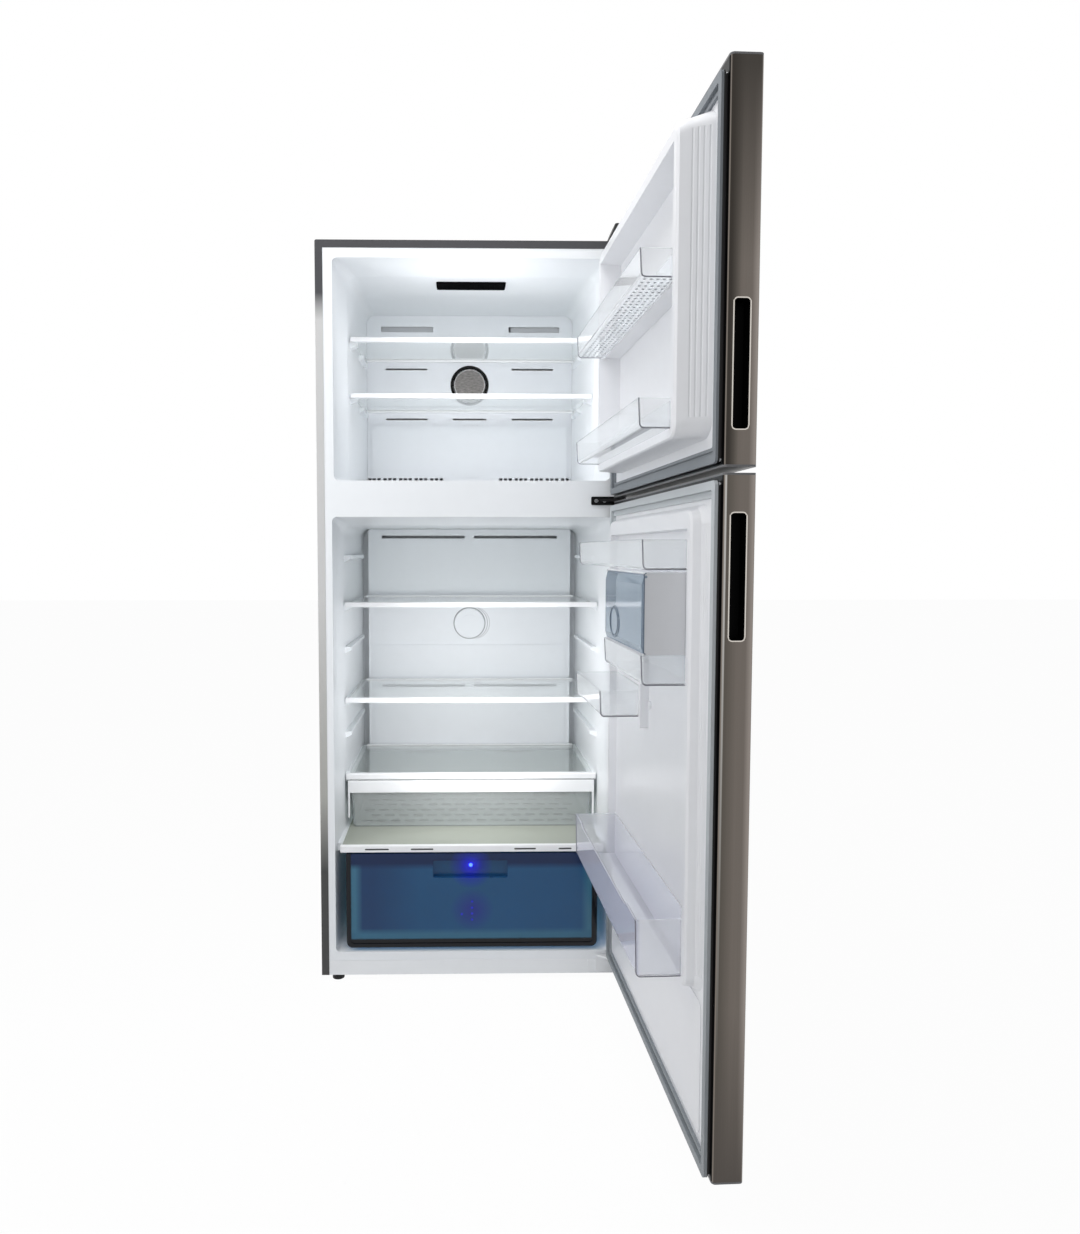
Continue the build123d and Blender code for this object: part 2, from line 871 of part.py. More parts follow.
# Machine space

pan_top = cabinet_bottom + pan_steel
compressor_x = 150
compressor_y = 478
mount_height = 14
mount_pin_radius = 5
shell_low = pan_top + mount_height
shell_radius = 68
shell_high = shell_low + 128
with BuildPart(cabinet) as compressor:
    shell_axis = cabinet.from_local_coords((compressor_x, compressor_y, 0))
    with BuildSketch(Plane(origin=shell_axis, x_dir=(1, 0, 0), z_dir=(0, -1, 0))):
        with BuildLine():
            Polyline((0, shell_high), (0, shell_low + 3), (shell_radius - 26, shell_low + 3))
            ThreePointArc(
                (shell_radius - 26, shell_low + 3),
                (shell_radius - 7, shell_low + 11),
                (shell_radius, shell_low + 30),
            )
            Line((shell_radius, shell_low + 30), (shell_radius, shell_low + 76))
            ThreePointArc(
                (shell_radius, shell_low + 76),
                (shell_radius - 17, shell_high - 15),
                (shell_radius - 50, shell_high),
            )
            Line((shell_radius - 50, shell_high), (0, shell_high))
        make_face()
    revolve(axis=Axis(shell_axis, (0, 0, 1)))
    with BuildSketch(level(cabinet, shell_low + 62)):
        with Locations((compressor_x, compressor_y)):
            Circle(shell_radius + 3)
    extrude(amount=4)
    with BuildSketch(level(cabinet, shell_low)):
        with Locations((compressor_x, compressor_y)):
            RectangleRounded(180, 120, 10)
            with GridLocations(156, 96, 2, 2):
                Circle(mount_pin_radius + fit, mode=Mode.SUBTRACT)
    extrude(amount=3.2)
    with BuildSketch(sideways(cabinet, compressor_x - shell_radius - 24)):
        with Locations((compressor_y + 10, shell_low + 45)):
            Circle(4)
    extrude(amount=30)
save(compressor, "compressor")

with BuildPart(cabinet) as compressor_mounts:
    with BuildSketch(level(cabinet, pan_top)):
        with Locations((compressor_x, compressor_y)):
            with GridLocations(156, 96, 2, 2):
                Circle(11)
    extrude(amount=mount_height)
    with BuildSketch(level(cabinet, pan_top)):
        with Locations((compressor_x, compressor_y)):
            with GridLocations(156, 96, 2, 2):
                Circle(mount_pin_radius)
    extrude(amount=mount_height + 6)
    with BuildSketch(level(cabinet, pan_top + 4)):
        with Locations((compressor_x, compressor_y)):
            with GridLocations(156, 96, 2, 2):
                Circle(12)
                Circle(8, mode=Mode.SUBTRACT)
    extrude(amount=5, mode=Mode.SUBTRACT)
save(compressor_mounts, "compressor_mounts")

condenser_left = -300
condenser_right = -10
condenser_low = pan_top
with BuildPart(cabinet) as condenser:
    levels = [condenser_low + 30 + row * 42 for row in range(4)]
    for height in levels:
        for depth in (430, 500):
            with BuildSketch(sideways(cabinet, condenser_left)):
                with Locations((depth, height)):
                    Circle(3.2)
            extrude(amount=condenser_right - condenser_left)
    for fin in range(9):
        across = condenser_left + 17 + fin * 32
        slab((across - 0.6, across + 0.6), (412, 518), (condenser_low + 12, levels[-1] + 16))
    for across in (condenser_left, condenser_right):
        slab((across - 1, across + 1), (405, 525), (condenser_low, levels[-1] + 20))
save(condenser, "condenser")

with BuildPart(cabinet) as drain_tray:
    with BuildSketch(level(cabinet, shell_high)):
        with Locations((compressor_x, compressor_y)):
            RectangleRounded(200, 130, 16)
    with BuildSketch(level(cabinet, shell_high + 34)):
        with Locations((compressor_x, compressor_y)):
            RectangleRounded(216, 146, 20)
    loft(ruled=True)
    openings = drain_tray.faces().sort_by(Axis.Z)[-1:]
    offset(amount=-2, openings=openings)
save(drain_tray, "drain_tray")

with BuildPart(cabinet) as machine_cover:
    with BuildSketch(upright(cabinet, cabinet_depth)):
        patch(
            (-machine_half + fit, machine_half - fit),
            (pan_top + fit, machine_top - steel - fit),
            4,
        )
        with Locations((0, 130)):
            with GridLocations(34, 96, 16, 2):
                SlotOverall(76, 12, rotation=90, mode=Mode.SUBTRACT)
    extrude(amount=1.5)
    for side in (-1, 1):
        slab(
            (side * roller_x - 18, side * roller_x + 18),
            (0, cabinet_depth + 5),
            (0, 40),
            mode=Mode.SUBTRACT,
        )
save(machine_cover, "machine_cover")


# Hinges

def pin(height_low, height_high):
    """Hinge pin on the door axis, between two heights"""
    with BuildSketch(level(cabinet, height_low)) as round_view:
        with Locations((hinge_x, hinge_y)):
            Circle(pin_radius)
    extrude(round_view.sketch, amount=height_high - height_low)


def arm(near_left, near_right, root_depth, low, thickness):
    """Hinge arm that narrows from its root to a round nose on the door axis"""
    with BuildSketch(level(cabinet, low)) as plan:
        with BuildLine():
            Polyline(
                (near_left, root_depth),
                (hinge_x - nose_radius, hinge_y),
                (hinge_x + nose_radius, hinge_y),
                (near_right, root_depth),
                close=True,
            )
        make_face()
        with Locations((hinge_x, hinge_y)):
            Circle(nose_radius)
    extrude(plan.sketch, amount=thickness)


with BuildPart(cabinet) as top_hinge_bracket:
    with BuildSketch(level(cabinet, cabinet_top)):
        patch((top_cover_left + 8, door_half - 6), (4, top_bracket_back - 6), 5)
    extrude(amount=hinge_plate)
    arm(top_cover_left + 12, door_half - 8, 10, cabinet_top, hinge_plate)
    pin(freezer_door_high - pin_length, cabinet_top + hinge_plate)
    for depth in (25, 50):
        with Locations((318, depth, cabinet_top + hinge_plate)):
            Cylinder(5, 6, align=(Align.CENTER, Align.CENTER, Align.MIN))
save(top_hinge_bracket, "top_hinge_bracket")

with BuildPart(cabinet) as top_hinge_cover:
    hood_edges = {
        cabinet_top: ((top_cover_left, top_cover_right), (top_cover_front, top_cover_back)),
        top_cover_high: ((top_cover_left + 12, top_cover_right - 3), (-22, top_cover_back - 14)),
    }
    for height, (across, deep) in hood_edges.items():
        with BuildSketch(level(cabinet, height)):
            patch(across, deep, 5)
    loft(ruled=True)
    hood_base = top_hinge_cover.faces().sort_by(Axis.Z)[:1]
    offset(amount=-2, openings=hood_base)
save(top_hinge_cover, "top_hinge_cover")

plate_back = steel
plate_front = -2
with BuildPart(cabinet) as mid_hinge_bracket:
    with BuildSketch(upright(cabinet, plate_back)):
        patch((mid_plate_left, flange_inner - fit), (mid_plate_low, mid_plate_high), 3)
        with Locations((mid_plate_left + 14, (mid_plate_low + mid_plate_high) / 2)):
            Circle(2.5, mode=Mode.SUBTRACT)
    extrude(amount=plate_back - plate_front)
    arm(mid_plate_left + 18, flange_inner - 2, plate_front, mid_arm_low, arm_thickness)
    pin(fridge_door_high - pin_length, freezer_door_low + pin_length)
save(mid_hinge_bracket, "mid_hinge_bracket")

with BuildPart(cabinet) as bottom_hinge_bracket:
    with BuildSketch(upright(cabinet, steel)):
        patch((mid_plate_left, flange_inner - fit), (bottom_plate_low, front_rail_top - 2), 3)
    extrude(amount=steel - plate_front)
    with BuildSketch(upright(cabinet, plate_front)):
        patch((mid_plate_left + 18, flange_inner - 2), (bottom_plate_low, bottom_arm_low + 4), 2)
    extrude(amount=2.5)
    arm(mid_plate_left + 18, flange_inner - 2, plate_front - 0.5, bottom_arm_low, 4)
    pin(bottom_arm_low, fridge_door_low + pin_length)
save(bottom_hinge_bracket, "bottom_hinge_bracket")


# Shelves

def glass_shelf(name, top, tall, half_front, glass_half, back):
    """Glass pane held in a slotted trim along its front and its back"""
    pane_low = glass_low(top)
    pane_high = pane_low + glass_thickness
    grip = 8
    with BuildPart(cabinet) as pane:
        with BuildSketch(level(cabinet, pane_low)):
            patch((-glass_half, glass_half), (shelf_front + trim_depth - grip, back - 4), 3)
        extrude(amount=glass_thickness)
    save(pane, name + "_glass")

    back_half = glass_half - ledge_width / 2 - 3
    with BuildPart(cabinet) as trim:
        with BuildSketch(sideways(cabinet, -half_front)):
            patch((shelf_front, shelf_front + trim_depth), (top - tall, top), 2.5)
        extrude(amount=2 * half_front)
        with BuildSketch(sideways(cabinet, -back_half)):
            patch((back - 10, back), (top - tall, top), 2)
        extrude(amount=2 * back_half)
        slab(
            (-glass_half, glass_half),
            (shelf_front + trim_depth - grip, back - 4),
            (pane_low, pane_high),
            mode=Mode.SUBTRACT,
        )
    save(trim, name + "_trim")


for place, top in freezer_shelf_tops.items():
    front_half = half_width_at(freezer_stations, shelf_front + trim_depth) - shelf_side_gap
    glass_shelf(
        f"freezer_shelf_{place}",
        top,
        freezer_trim_tall,
        front_half,
        freezer_glass_half,
        freezer_shelf_back,
    )
fridge_front_half = half_width_at(fridge_stations, shelf_front + trim_depth) - shelf_side_gap
for place, top in fridge_shelf_tops.items():
    glass_shelf(
        f"fridge_shelf_{place}",
        top,
        fridge_trim_tall,
        fridge_front_half,
        fridge_glass_half,
        fridge_shelf_back,
    )
glass_shelf(
    "chiller_shelf",
    chiller_shelf_top,
    chiller_trim_tall,
    fridge_front_half,
    fridge_glass_half,
    fridge_shelf_back,
)


# Chiller tray and its front

tray_low = crisper_cover_top + fit
with BuildPart(cabinet) as chiller_tray:
    with BuildSketch(level(cabinet, tray_low)):
        patch((-chiller_half + 8, chiller_half - 8), (shelf_front + 6, chiller_back - 8), 10)
    with BuildSketch(level(cabinet, chiller_front_high - 4)):
        patch((-chiller_half, chiller_half), (shelf_front + 3, chiller_back), 10)
    loft(ruled=True)
    tray_mouth = chiller_tray.faces().sort_by(Axis.Z)[-1:]
    offset(amount=-moulding, openings=tray_mouth)
save(chiller_tray, "chiller_tray")

with BuildPart(cabinet) as chiller_front:
    strip_half = chiller_half + 3
    with BuildSketch(sideways(cabinet, -strip_half)):
        patch((shelf_front, shelf_front + 3), (chiller_front_low, chiller_front_high), 1)
        patch((shelf_front, shelf_front + 9), (chiller_front_high - 4, chiller_front_high), 1)
    extrude(amount=2 * strip_half)
    with BuildSketch(level(cabinet, chiller_front_low - 5)):
        patch((-strip_half, strip_half), (shelf_front + 3, shelf_front + 12))
    extrude(
        amount=chiller_front_high - 4 - chiller_front_low + 5,
        mode=Mode.SUBTRACT,
    )
save(chiller_front, "chiller_front")


# Crisper

cover_half = fridge_glass_half
with BuildPart(cabinet) as crisper_cover_glass:
    with BuildSketch(level(cabinet, crisper_cover_top - glass_thickness)):
        patch((-cover_half, cover_half), (crisper_front + 4, crisper_glass_back), 3)
    extrude(amount=glass_thickness)
save(crisper_cover_glass, "crisper_cover_glass")

with BuildPart(cabinet) as crisper_cover_trim:
    trim_low = crisper_cover_top - crisper_cover_tall
    with BuildSketch(sideways(cabinet, -cover_half - 4)):
        patch((1, 16), (trim_low, crisper_cover_top), 2.5)
    extrude(amount=2 * cover_half + 8)
    slab(
        (-cover_half, cover_half),
        (crisper_front + 4, 40),
        (crisper_cover_top - glass_thickness, crisper_cover_top + 1),
        mode=Mode.SUBTRACT,
    )
    with BuildSketch(upright(cabinet, 1)):
        for across in ((-248, -193), (-142, -90), (98, 148), (201, 231)):
            patch(across, (309, 313), 1.8)
    extrude(amount=-5, mode=Mode.SUBTRACT)
save(crisper_cover_trim, "crisper_cover_trim")

with BuildPart(cabinet) as crisper_bin:
    with BuildSketch(upright(cabinet, crisper_front)):
        patch((-crisper_half, crisper_half), (crisper_low, crisper_high + crisper_corner), crisper_corner)
    with BuildSketch(upright(cabinet, crisper_back)):
        patch(
            (-crisper_half + 9, crisper_half - 9),
            (crisper_low, crisper_high + crisper_corner),
            crisper_corner,
        )
    loft(ruled=True)
    slab(
        (-crisper_half - 5, crisper_half + 5),
        (0, crisper_back + 5),
        (crisper_high, crisper_high + 40),
        mode=Mode.SUBTRACT,
    )
    bin_mouth = crisper_bin.faces().sort_by(Axis.Z)[-1:]
    offset(amount=-moulding, openings=bin_mouth)
    grip_left, grip_right, grip_low, grip_high = crisper_grip
    with BuildSketch(upright(cabinet, crisper_front)):
        patch((grip_left, grip_right), (grip_low, grip_high), 5)
    extrude(amount=-crisper_grip_depth)
    with BuildSketch(upright(cabinet, crisper_front)):
        patch(
            (grip_left + moulding, grip_right - moulding),
            (grip_low + moulding, grip_high - moulding),
            3,
        )
    extrude(amount=-crisper_grip_depth + moulding, mode=Mode.SUBTRACT)
    with BuildSketch(upright(cabinet, crisper_front)):
        patch((-crisper_half, crisper_half), (crisper_low, crisper_high + crisper_corner), crisper_corner)
        patch(
            (-crisper_half + crisper_frame, crisper_half - crisper_frame),
            (crisper_low + crisper_frame, crisper_high - crisper_lip),
            crisper_corner - 5,
            mode=Mode.SUBTRACT,
        )
        patch(
            (-crisper_half - 5, crisper_half + 5),
            (crisper_high, crisper_high + 40),
            mode=Mode.SUBTRACT,
        )
    extrude(amount=2)
save(crisper_bin, "crisper_bin")


# Doors

def ring_stations(ring, inset):
    """Outside of the raised ring; inset gives the inner face of the moulding"""
    low = ring["low"]
    high = ring["high"]
    rise = ring["rise"]
    steps = (
        (door_back, 0, 0, 0, 30),
        (rise - ring_round, ring_half - ring_top_half, 1, 1, 26),
        (rise - ring_shoulder, ring_half - ring_top_half + 5, 2, 1.7, 22),
        (rise, ring_half - ring_top_half + 11, 4, 2.4, 18),
    )
    stations = []
    for index, (depth, narrowing, low_share, high_share, corner) in enumerate(steps):
        drop = inset if index else 0
        stations.append(
            (
                depth - drop,
                ring_half - narrowing - inset,
                low + low_share * ring["lean_low"] + inset,
                high - high_share * ring["lean_high"] - inset,
                corner - inset,
            )
        )
    return stations


def recess_stations(ring, inset):
    """Shelf recess inside the ring; it is cut from the ring's solid"""
    half = ring_top_half - ring_wall + inset
    low = ring["bar_top"] - inset
    high = ring["high"] - recess_high_bar + inset
    return [
        (ring["rise"] + 5, half, low, high, recess_corner + inset),
        (recess_floor - inset, half - 0.5, low, high - 3, recess_corner + inset),
    ]


def ring_solid(ring, inset):
    """The raised ring and its belts as a solid, in drawn coordinates"""
    belt_half = ring_top_half - ring_wall + 3
    with BuildPart() as body:
        funnel(drawn, ring_stations(ring, inset))
        funnel(drawn, recess_stations(ring, inset), mode=Mode.SUBTRACT)
        for low, high in ring["belts"]:
            slab(
                (-belt_half, belt_half),
                (recess_floor - inset - 1, belt_face - inset),
                (low + inset, high - inset),
            )
    return body.part


def door_section(inset):
    """Plan view of a door, drawn in from its skin"""
    patch(
        (-door_half + inset, door_half - inset),
        (door_front + inset, door_back - inset),
        door_corner - inset,
    )


def build_door(name, low, high, seal, ring, handle, pips):
    """The six fixed pieces of one door"""
    sheet_low = low + cap_thickness
    sheet_high = high - cap_thickness
    mouth_half = door_half - door_lip
    mouth_low, mouth_high = (seal[0] + 7, seal[1] - 7)

    with BuildPart(door) as pan:
        with BuildSketch(level(door, sheet_low)):
            door_section(0)
            patch(
                (-door_half + steel, door_half - steel),
                (door_front + steel, door_back - steel),
                door_corner - steel,
                mode=Mode.SUBTRACT,
            )
        extrude(amount=sheet_high - sheet_low)
        slab(
            (-mouth_half, mouth_half),
            (door_back - steel - 0.5, door_back + 1),
            (mouth_low, mouth_high),
            mode=Mode.SUBTRACT,
        )
        with BuildSketch(sideways(door, -door_half)):
            patch((pocket_near, pocket_far), handle, 6)
        extrude(amount=10, both=True, mode=Mode.SUBTRACT)
    save(pan, name + "_pan")

    with BuildPart(door) as caps:
        for plate_low, inward in ((low, 1), (sheet_high, -1)):
            with BuildSketch(level(door, plate_low)):
                door_section(0)
            extrude(amount=cap_thickness)
            inner = plate_low + (cap_thickness if inward > 0 else 0)
            with BuildSketch(level(door, inner)):
                with Locations((hinge_x, hinge_y)):
                    Circle(pin_radius + bush_wall)
            extrude(amount=inward * pin_length)
            outer = plate_low + (0 if inward > 0 else cap_thickness)
            with BuildSketch(level(door, outer)):
                with Locations((hinge_x, hinge_y)):
                    Circle(pin_radius + running)
            extrude(amount=inward * (pin_length + 1), mode=Mode.SUBTRACT)
    save(caps, name + "_caps")

    with BuildPart(door) as cup:
        with BuildSketch(sideways(door, -door_half)):
            patch((pocket_near, pocket_far), handle, 6)
        extrude(amount=pocket_deep)
        with BuildSketch(sideways(door, -door_half)):
            patch(
                (pocket_near + handle_wall, pocket_far - handle_wall),
                (handle[0] + handle_wall, handle[1] - handle_wall),
                6 - handle_wall,
            )
        extrude(amount=pocket_deep - handle_wall, mode=Mode.SUBTRACT)
    save(cup, name + "_handle_cup")

    with BuildPart(door) as foam:
        with BuildSketch(level(door, sheet_low)):
            door_section(steel)
        extrude(amount=sheet_high - sheet_low)
        slab(
            (-mouth_half, mouth_half),
            (door_back - steel - 0.5, door_back),
            (mouth_low, mouth_high),
        )
        add(ring_solid(ring, door_sheet))
        with BuildSketch(sideways(door, -door_half)):
            patch((pocket_near, pocket_far), handle, 6)
        extrude(amount=pocket_deep, mode=Mode.SUBTRACT)
        for plane_height, reach in ((sheet_low, pin_length), (sheet_high, -pin_length)):
            with BuildSketch(level(door, plane_height)):
                with Locations((hinge_x, hinge_y)):
                    Circle(pin_radius + bush_wall)
            extrude(amount=reach, mode=Mode.SUBTRACT)
    save(foam, name + "_foam")

    bead_half = door_half - seal_inset
    with BuildPart(door) as liner:
        with BuildSketch(upright(door, door_back)):
            patch((-bead_half + 2, bead_half - 2), (seal[0] + 2, seal[1] - 2), 8)
        extrude(amount=-door_sheet)
        add(ring_solid(ring, 0))
        add(ring_solid(ring, door_sheet), mode=Mode.SUBTRACT)
        recess_half = recess_stations(ring, 0)[0][1]
        for side, height in pips:
            reach = (side * (recess_half - pip_reach), side * (recess_half + 0.3))
            pip_start = max(ring["seat"] - 6, recess_floor)
            with BuildSketch(upright(door, pip_start)):
                patch((min(reach), max(reach)), (height - pip_tall, height), 1)
            extrude(amount=pip_start - ring["rise"] + ring_shoulder)
        cut_flutes(ring)
        if ring is fridge_ring:
            add_centre_rib()
            add_lower_details(seal)
    save(liner, name + "_liner")

    base = door_back + door_sheet
    with BuildPart(door) as gasket:
        for near, far, edge, width in (
            (base, base + 2, 2, seal_base),
            (base + 2, -gasket_gap, 0, seal_bead),
            (base + 2, base + 4.5, 19, 5),
        ):
            with BuildSketch(upright(door, near)):
                patch(
                    (-bead_half + edge, bead_half - edge),
                    (seal[0] + edge, seal[1] - edge),
                    8,
                )
                patch(
                    (-bead_half + edge + width, bead_half - edge - width),
                    (seal[0] + edge + width, seal[1] - edge - width),
                    4,
                    mode=Mode.SUBTRACT,
                )
            extrude(amount=near - far)
    save(gasket, name + "_gasket")


def cut_flutes(ring):
    """Shallow upright grooves down the sloping sides of a ring"""
    stations = ring_stations(ring, 0)
    run_half = stations[0][1] - stations[1][1]
    run_deep = stations[1][0] - stations[0][0]
    slope = hypot(run_half, run_deep)
    for side in (-1, 1):
        with BuildSketch(level(door, ring["low"] + 30)) as grooves:
            for groove in range(flute_count):
                share = (groove + 1.2) / (flute_count + 1)
                lift = flute_radius - flute_sunk
                across = stations[0][1] - share * run_half + lift * run_deep / slope
                deep = stations[0][0] + share * run_deep + lift * run_half / slope
                with Locations((side * across, deep)):
                    Circle(flute_radius)
        extrude(
            grooves.sketch,
            amount=ring["high"] - ring["low"] - 60,
            mode=Mode.SUBTRACT,
        )


def add_centre_rib():
    """Upright rib in the recess that carries the inner ends of the two half bins"""
    rib_reach = fridge_ring["rise"] - recess_floor
    with BuildSketch(upright(door, recess_floor)) as rib:
        patch(
            (rib_centre - rib_half, rib_centre + rib_half),
            (half_balcony_z[0] - 20, utility_box_top + 4),
            4,
        )
    extrude(rib.sketch, amount=-rib_reach)
    for height, side in ((utility_balcony_z[0], -1), (half_balcony_z[0], 1)):
        edge = rib_centre + side * rib_half
        with BuildSketch(upright(door, 2)) as pip:
            patch((edge - pip_reach, edge + pip_reach), (height - pip_tall, height), 1)
        extrude(pip.sketch, amount=2 - fridge_ring["rise"])


def add_lower_details(seal):
    """Raised pad under the fresh food ring and the round boss in its recess"""
    with BuildSketch(upright(door, door_back + door_sheet)) as pad:
        patch(
            (-ring_half + 8, ring_half - 8),
            (seal[0] + seal_base + 12, fridge_ring["low"] - 12),
            12,
        )
    extrude(pad.sketch, amount=-1)
    with BuildSketch(upright(door, recess_floor)) as boss:
        with Locations(boss_place):
            Circle(boss_radius)
    extrude(boss.sketch, amount=-3)


freezer_pips = [(side, freezer_balconies["upper"][0]) for side in (-1, 1)]
fridge_pips = [
    (-1, top_balcony[0]),
    (1, top_balcony[0]),
    (-1, utility_balcony_z[0]),
    (1, half_balcony_z[0]),
]
build_door(
    "freezer_door",
    freezer_door_low,
    freezer_door_high,
    freezer_seal,
    freezer_ring,
    freezer_handle,
    freezer_pips,
)
build_door(
    "fridge_door",
    fridge_door_low,
    fridge_door_high,
    fridge_seal,
    fridge_ring,
    fridge_handle,
    fridge_pips,
)


# Balconies on the doors

def bin_block(across, up, back, front, inset):
    """Outside of a bin, or its inside when inset: leaning front, round lower edge"""
    corner = balcony_corner - inset
    rim = up[1] + inset
    with BuildPart() as block:
        with BuildSketch(sideways(drawn, across[0] + inset)):
            with BuildLine():
                Polyline(
                    (back + inset, rim),
                    (back + inset, up[0] + inset),
                    (front - balcony_lean - inset, up[0] + inset),
                    (front - inset, rim),
                    close=True,
                )
            face = make_face()
            fillet(face.vertices().group_by(Axis.Y)[0].sort_by(Axis.X)[-1], corner)
        extrude(amount=across[1] - across[0] - 2 * inset)
        fronts = block.faces().filter_by(Axis.X).edges()
        fronts = fronts.filter_by(GeomType.LINE).group_by(Axis.Y)[-1]
        fillet(fronts, corner - 3)
    return block.part


def balcony(name, across, up, back, front, dip=0):
    """Open bin that stands on the liner's pips, with a low place in its front if asked"""
    left, right = across
    high = up[1]
    with BuildPart(door) as bin_part:
        add(bin_block(across, up, back + fit, front, 0))
        add(bin_block(across, up, back + fit, front, moulding), mode=Mode.SUBTRACT)
        if dip:
            with BuildSketch(upright(door, front + 5)):
                with BuildLine():
                    Polyline(
                        (left + 60, high + 1),
                        (left + 75, high - dip),
                        (right - 75, high - dip),
                        (right - 60, high + 1),
                        close=True,
                    )
                make_face()
            extrude(amount=30, mode=Mode.SUBTRACT)
    save(bin_part, name)


whole = (-balcony_half, balcony_half)
left_of_rib = (-balcony_half, rib_centre - rib_half - fit)
right_of_rib = (rib_centre + rib_half + fit, balcony_half)
for place, span in freezer_balconies.items():
    balcony(f"freezer_{place}_balcony", whole, span, belt_face, freezer_balcony_front)
balcony("fridge_top_balcony", whole, top_balcony, recess_floor, upper_front)
balcony("utility_balcony", left_of_rib, utility_balcony_z, recess_floor, upper_front)
balcony("half_balcony", right_of_rib, half_balcony_z, recess_floor, half_front)
balcony("bottle_balcony", whole, bottle_balcony_z, recess_floor, bottle_front, bottle_dip)

box_low = utility_balcony_z[1]
box_left, box_right = left_of_rib
box_front = upper_front - flap_thickness - 1
flap_axis_y = box_front - 3
flap_axis_z = utility_box_top - 7
with BuildPart(door) as utility_box:
    slab(
        (box_left, box_right),
        (recess_floor + fit, box_front),
        (box_low, utility_box_top),
    )
    across_door = Axis(door.origin, door.x_dir)
    fillet(utility_box.edges().filter_by(across_door).group_by(Axis.Z)[-1], 2)
    slab(
        (box_left + moulding, box_right - moulding),
        (recess_floor + fit + moulding, box_front + 5),
        (box_low + moulding, utility_box_top - moulding),
        mode=Mode.SUBTRACT,
    )
    with BuildSketch(sideways(door, box_left - 1)):
        with Locations((flap_axis_y, flap_axis_z)):
            Circle(flap_pin_radius + running)
    extrude(amount=box_right - box_left + 2, mode=Mode.SUBTRACT)
save(utility_box, "utility_box")

with BuildPart(door) as utility_box_flap:
    flap_left = box_left + moulding + fit
    flap_right = box_right - moulding - fit
    flap_low = box_low + moulding + fit
    with BuildSketch(sideways(door, flap_left)):
        with BuildLine():
            Polyline(
                (box_front, flap_axis_z),
                (box_front + 3, flap_axis_z - 12),
                (box_front + 3, flap_low + 10),
                (box_front, flap_low),
                (box_front - flap_thickness, flap_low),
                (box_front + 3 - flap_thickness, flap_low + 10),
                (box_front + 3 - flap_thickness, flap_axis_z - 12),
                (box_front - flap_thickness, flap_axis_z),
                close=True,
            )
        make_face()
        with Locations((flap_axis_y, flap_axis_z)):
            Circle(3)
    extrude(amount=flap_right - flap_left)
    with BuildSketch(sideways(door, box_left + 0.5)):
        with Locations((flap_axis_y, flap_axis_z)):
            Circle(flap_pin_radius)
    extrude(amount=box_right - box_left - 1)
save(utility_box_flap, "utility_box_flap")
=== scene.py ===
import json
import bmesh
import bpy
from math import cos, pi, radians, sin
from mathutils import Matrix, Vector


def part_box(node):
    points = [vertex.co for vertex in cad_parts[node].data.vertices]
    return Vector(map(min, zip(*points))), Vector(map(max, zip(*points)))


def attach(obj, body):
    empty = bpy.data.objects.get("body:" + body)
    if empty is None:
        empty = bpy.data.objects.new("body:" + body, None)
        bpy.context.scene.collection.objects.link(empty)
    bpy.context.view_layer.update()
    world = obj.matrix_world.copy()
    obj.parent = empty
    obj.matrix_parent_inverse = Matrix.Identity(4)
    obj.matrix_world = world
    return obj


# A two-door refrigerator, both doors open, seen from the front a little above the middle.
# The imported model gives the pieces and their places. This script gives finishes and small trim.

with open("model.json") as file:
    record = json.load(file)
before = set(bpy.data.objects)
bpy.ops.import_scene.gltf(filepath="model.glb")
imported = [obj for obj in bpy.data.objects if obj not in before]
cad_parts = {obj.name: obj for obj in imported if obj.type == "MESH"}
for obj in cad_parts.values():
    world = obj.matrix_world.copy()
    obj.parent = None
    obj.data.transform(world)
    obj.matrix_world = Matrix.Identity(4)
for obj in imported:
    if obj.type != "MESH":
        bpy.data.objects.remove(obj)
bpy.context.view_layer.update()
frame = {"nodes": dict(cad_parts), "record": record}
nodes = frame["nodes"]
print("frame loaded:", len(nodes), "nodes")


# helpers for places

def mm(value):
    return value / 1000


wrapperLow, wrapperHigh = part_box("outer_wrapper")
shift = Vector(((wrapperLow.x + wrapperHigh.x) / 2, wrapperLow.y, 0))  # the cabinet's front centre line
doorTurn = radians(92)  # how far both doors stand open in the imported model
hingeSpot = (338, -30)  # the hinge line of both doors


def inCabinet(x, y, z):
    # cabinet millimetres: x right of the middle, y into the cabinet, z up
    return shift + Vector((mm(x), mm(y), mm(z)))


hingeFlat = inCabinet(*hingeSpot, 0)


def onDoor(x, y, z):
    # the same millimetres with the door shut, turned to where the open door stands
    flat = inCabinet(x, y, z) - hingeFlat
    turned = Matrix.Rotation(doorTurn, 3, "Z") @ flat
    return hingeFlat + turned


# helpers for meshes

def meshPiece(name, bm, material, body, smooth=True):
    bmesh.ops.recalc_face_normals(bm, faces=bm.faces)
    mesh = bpy.data.meshes.new(name)
    bm.to_mesh(mesh)
    bm.free()
    piece = bpy.data.objects.new(name, mesh)
    bpy.context.scene.collection.objects.link(piece)
    mesh.materials.append(material)
    for face in mesh.polygons:
        face.use_smooth = smooth
    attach(piece, body)
    return piece


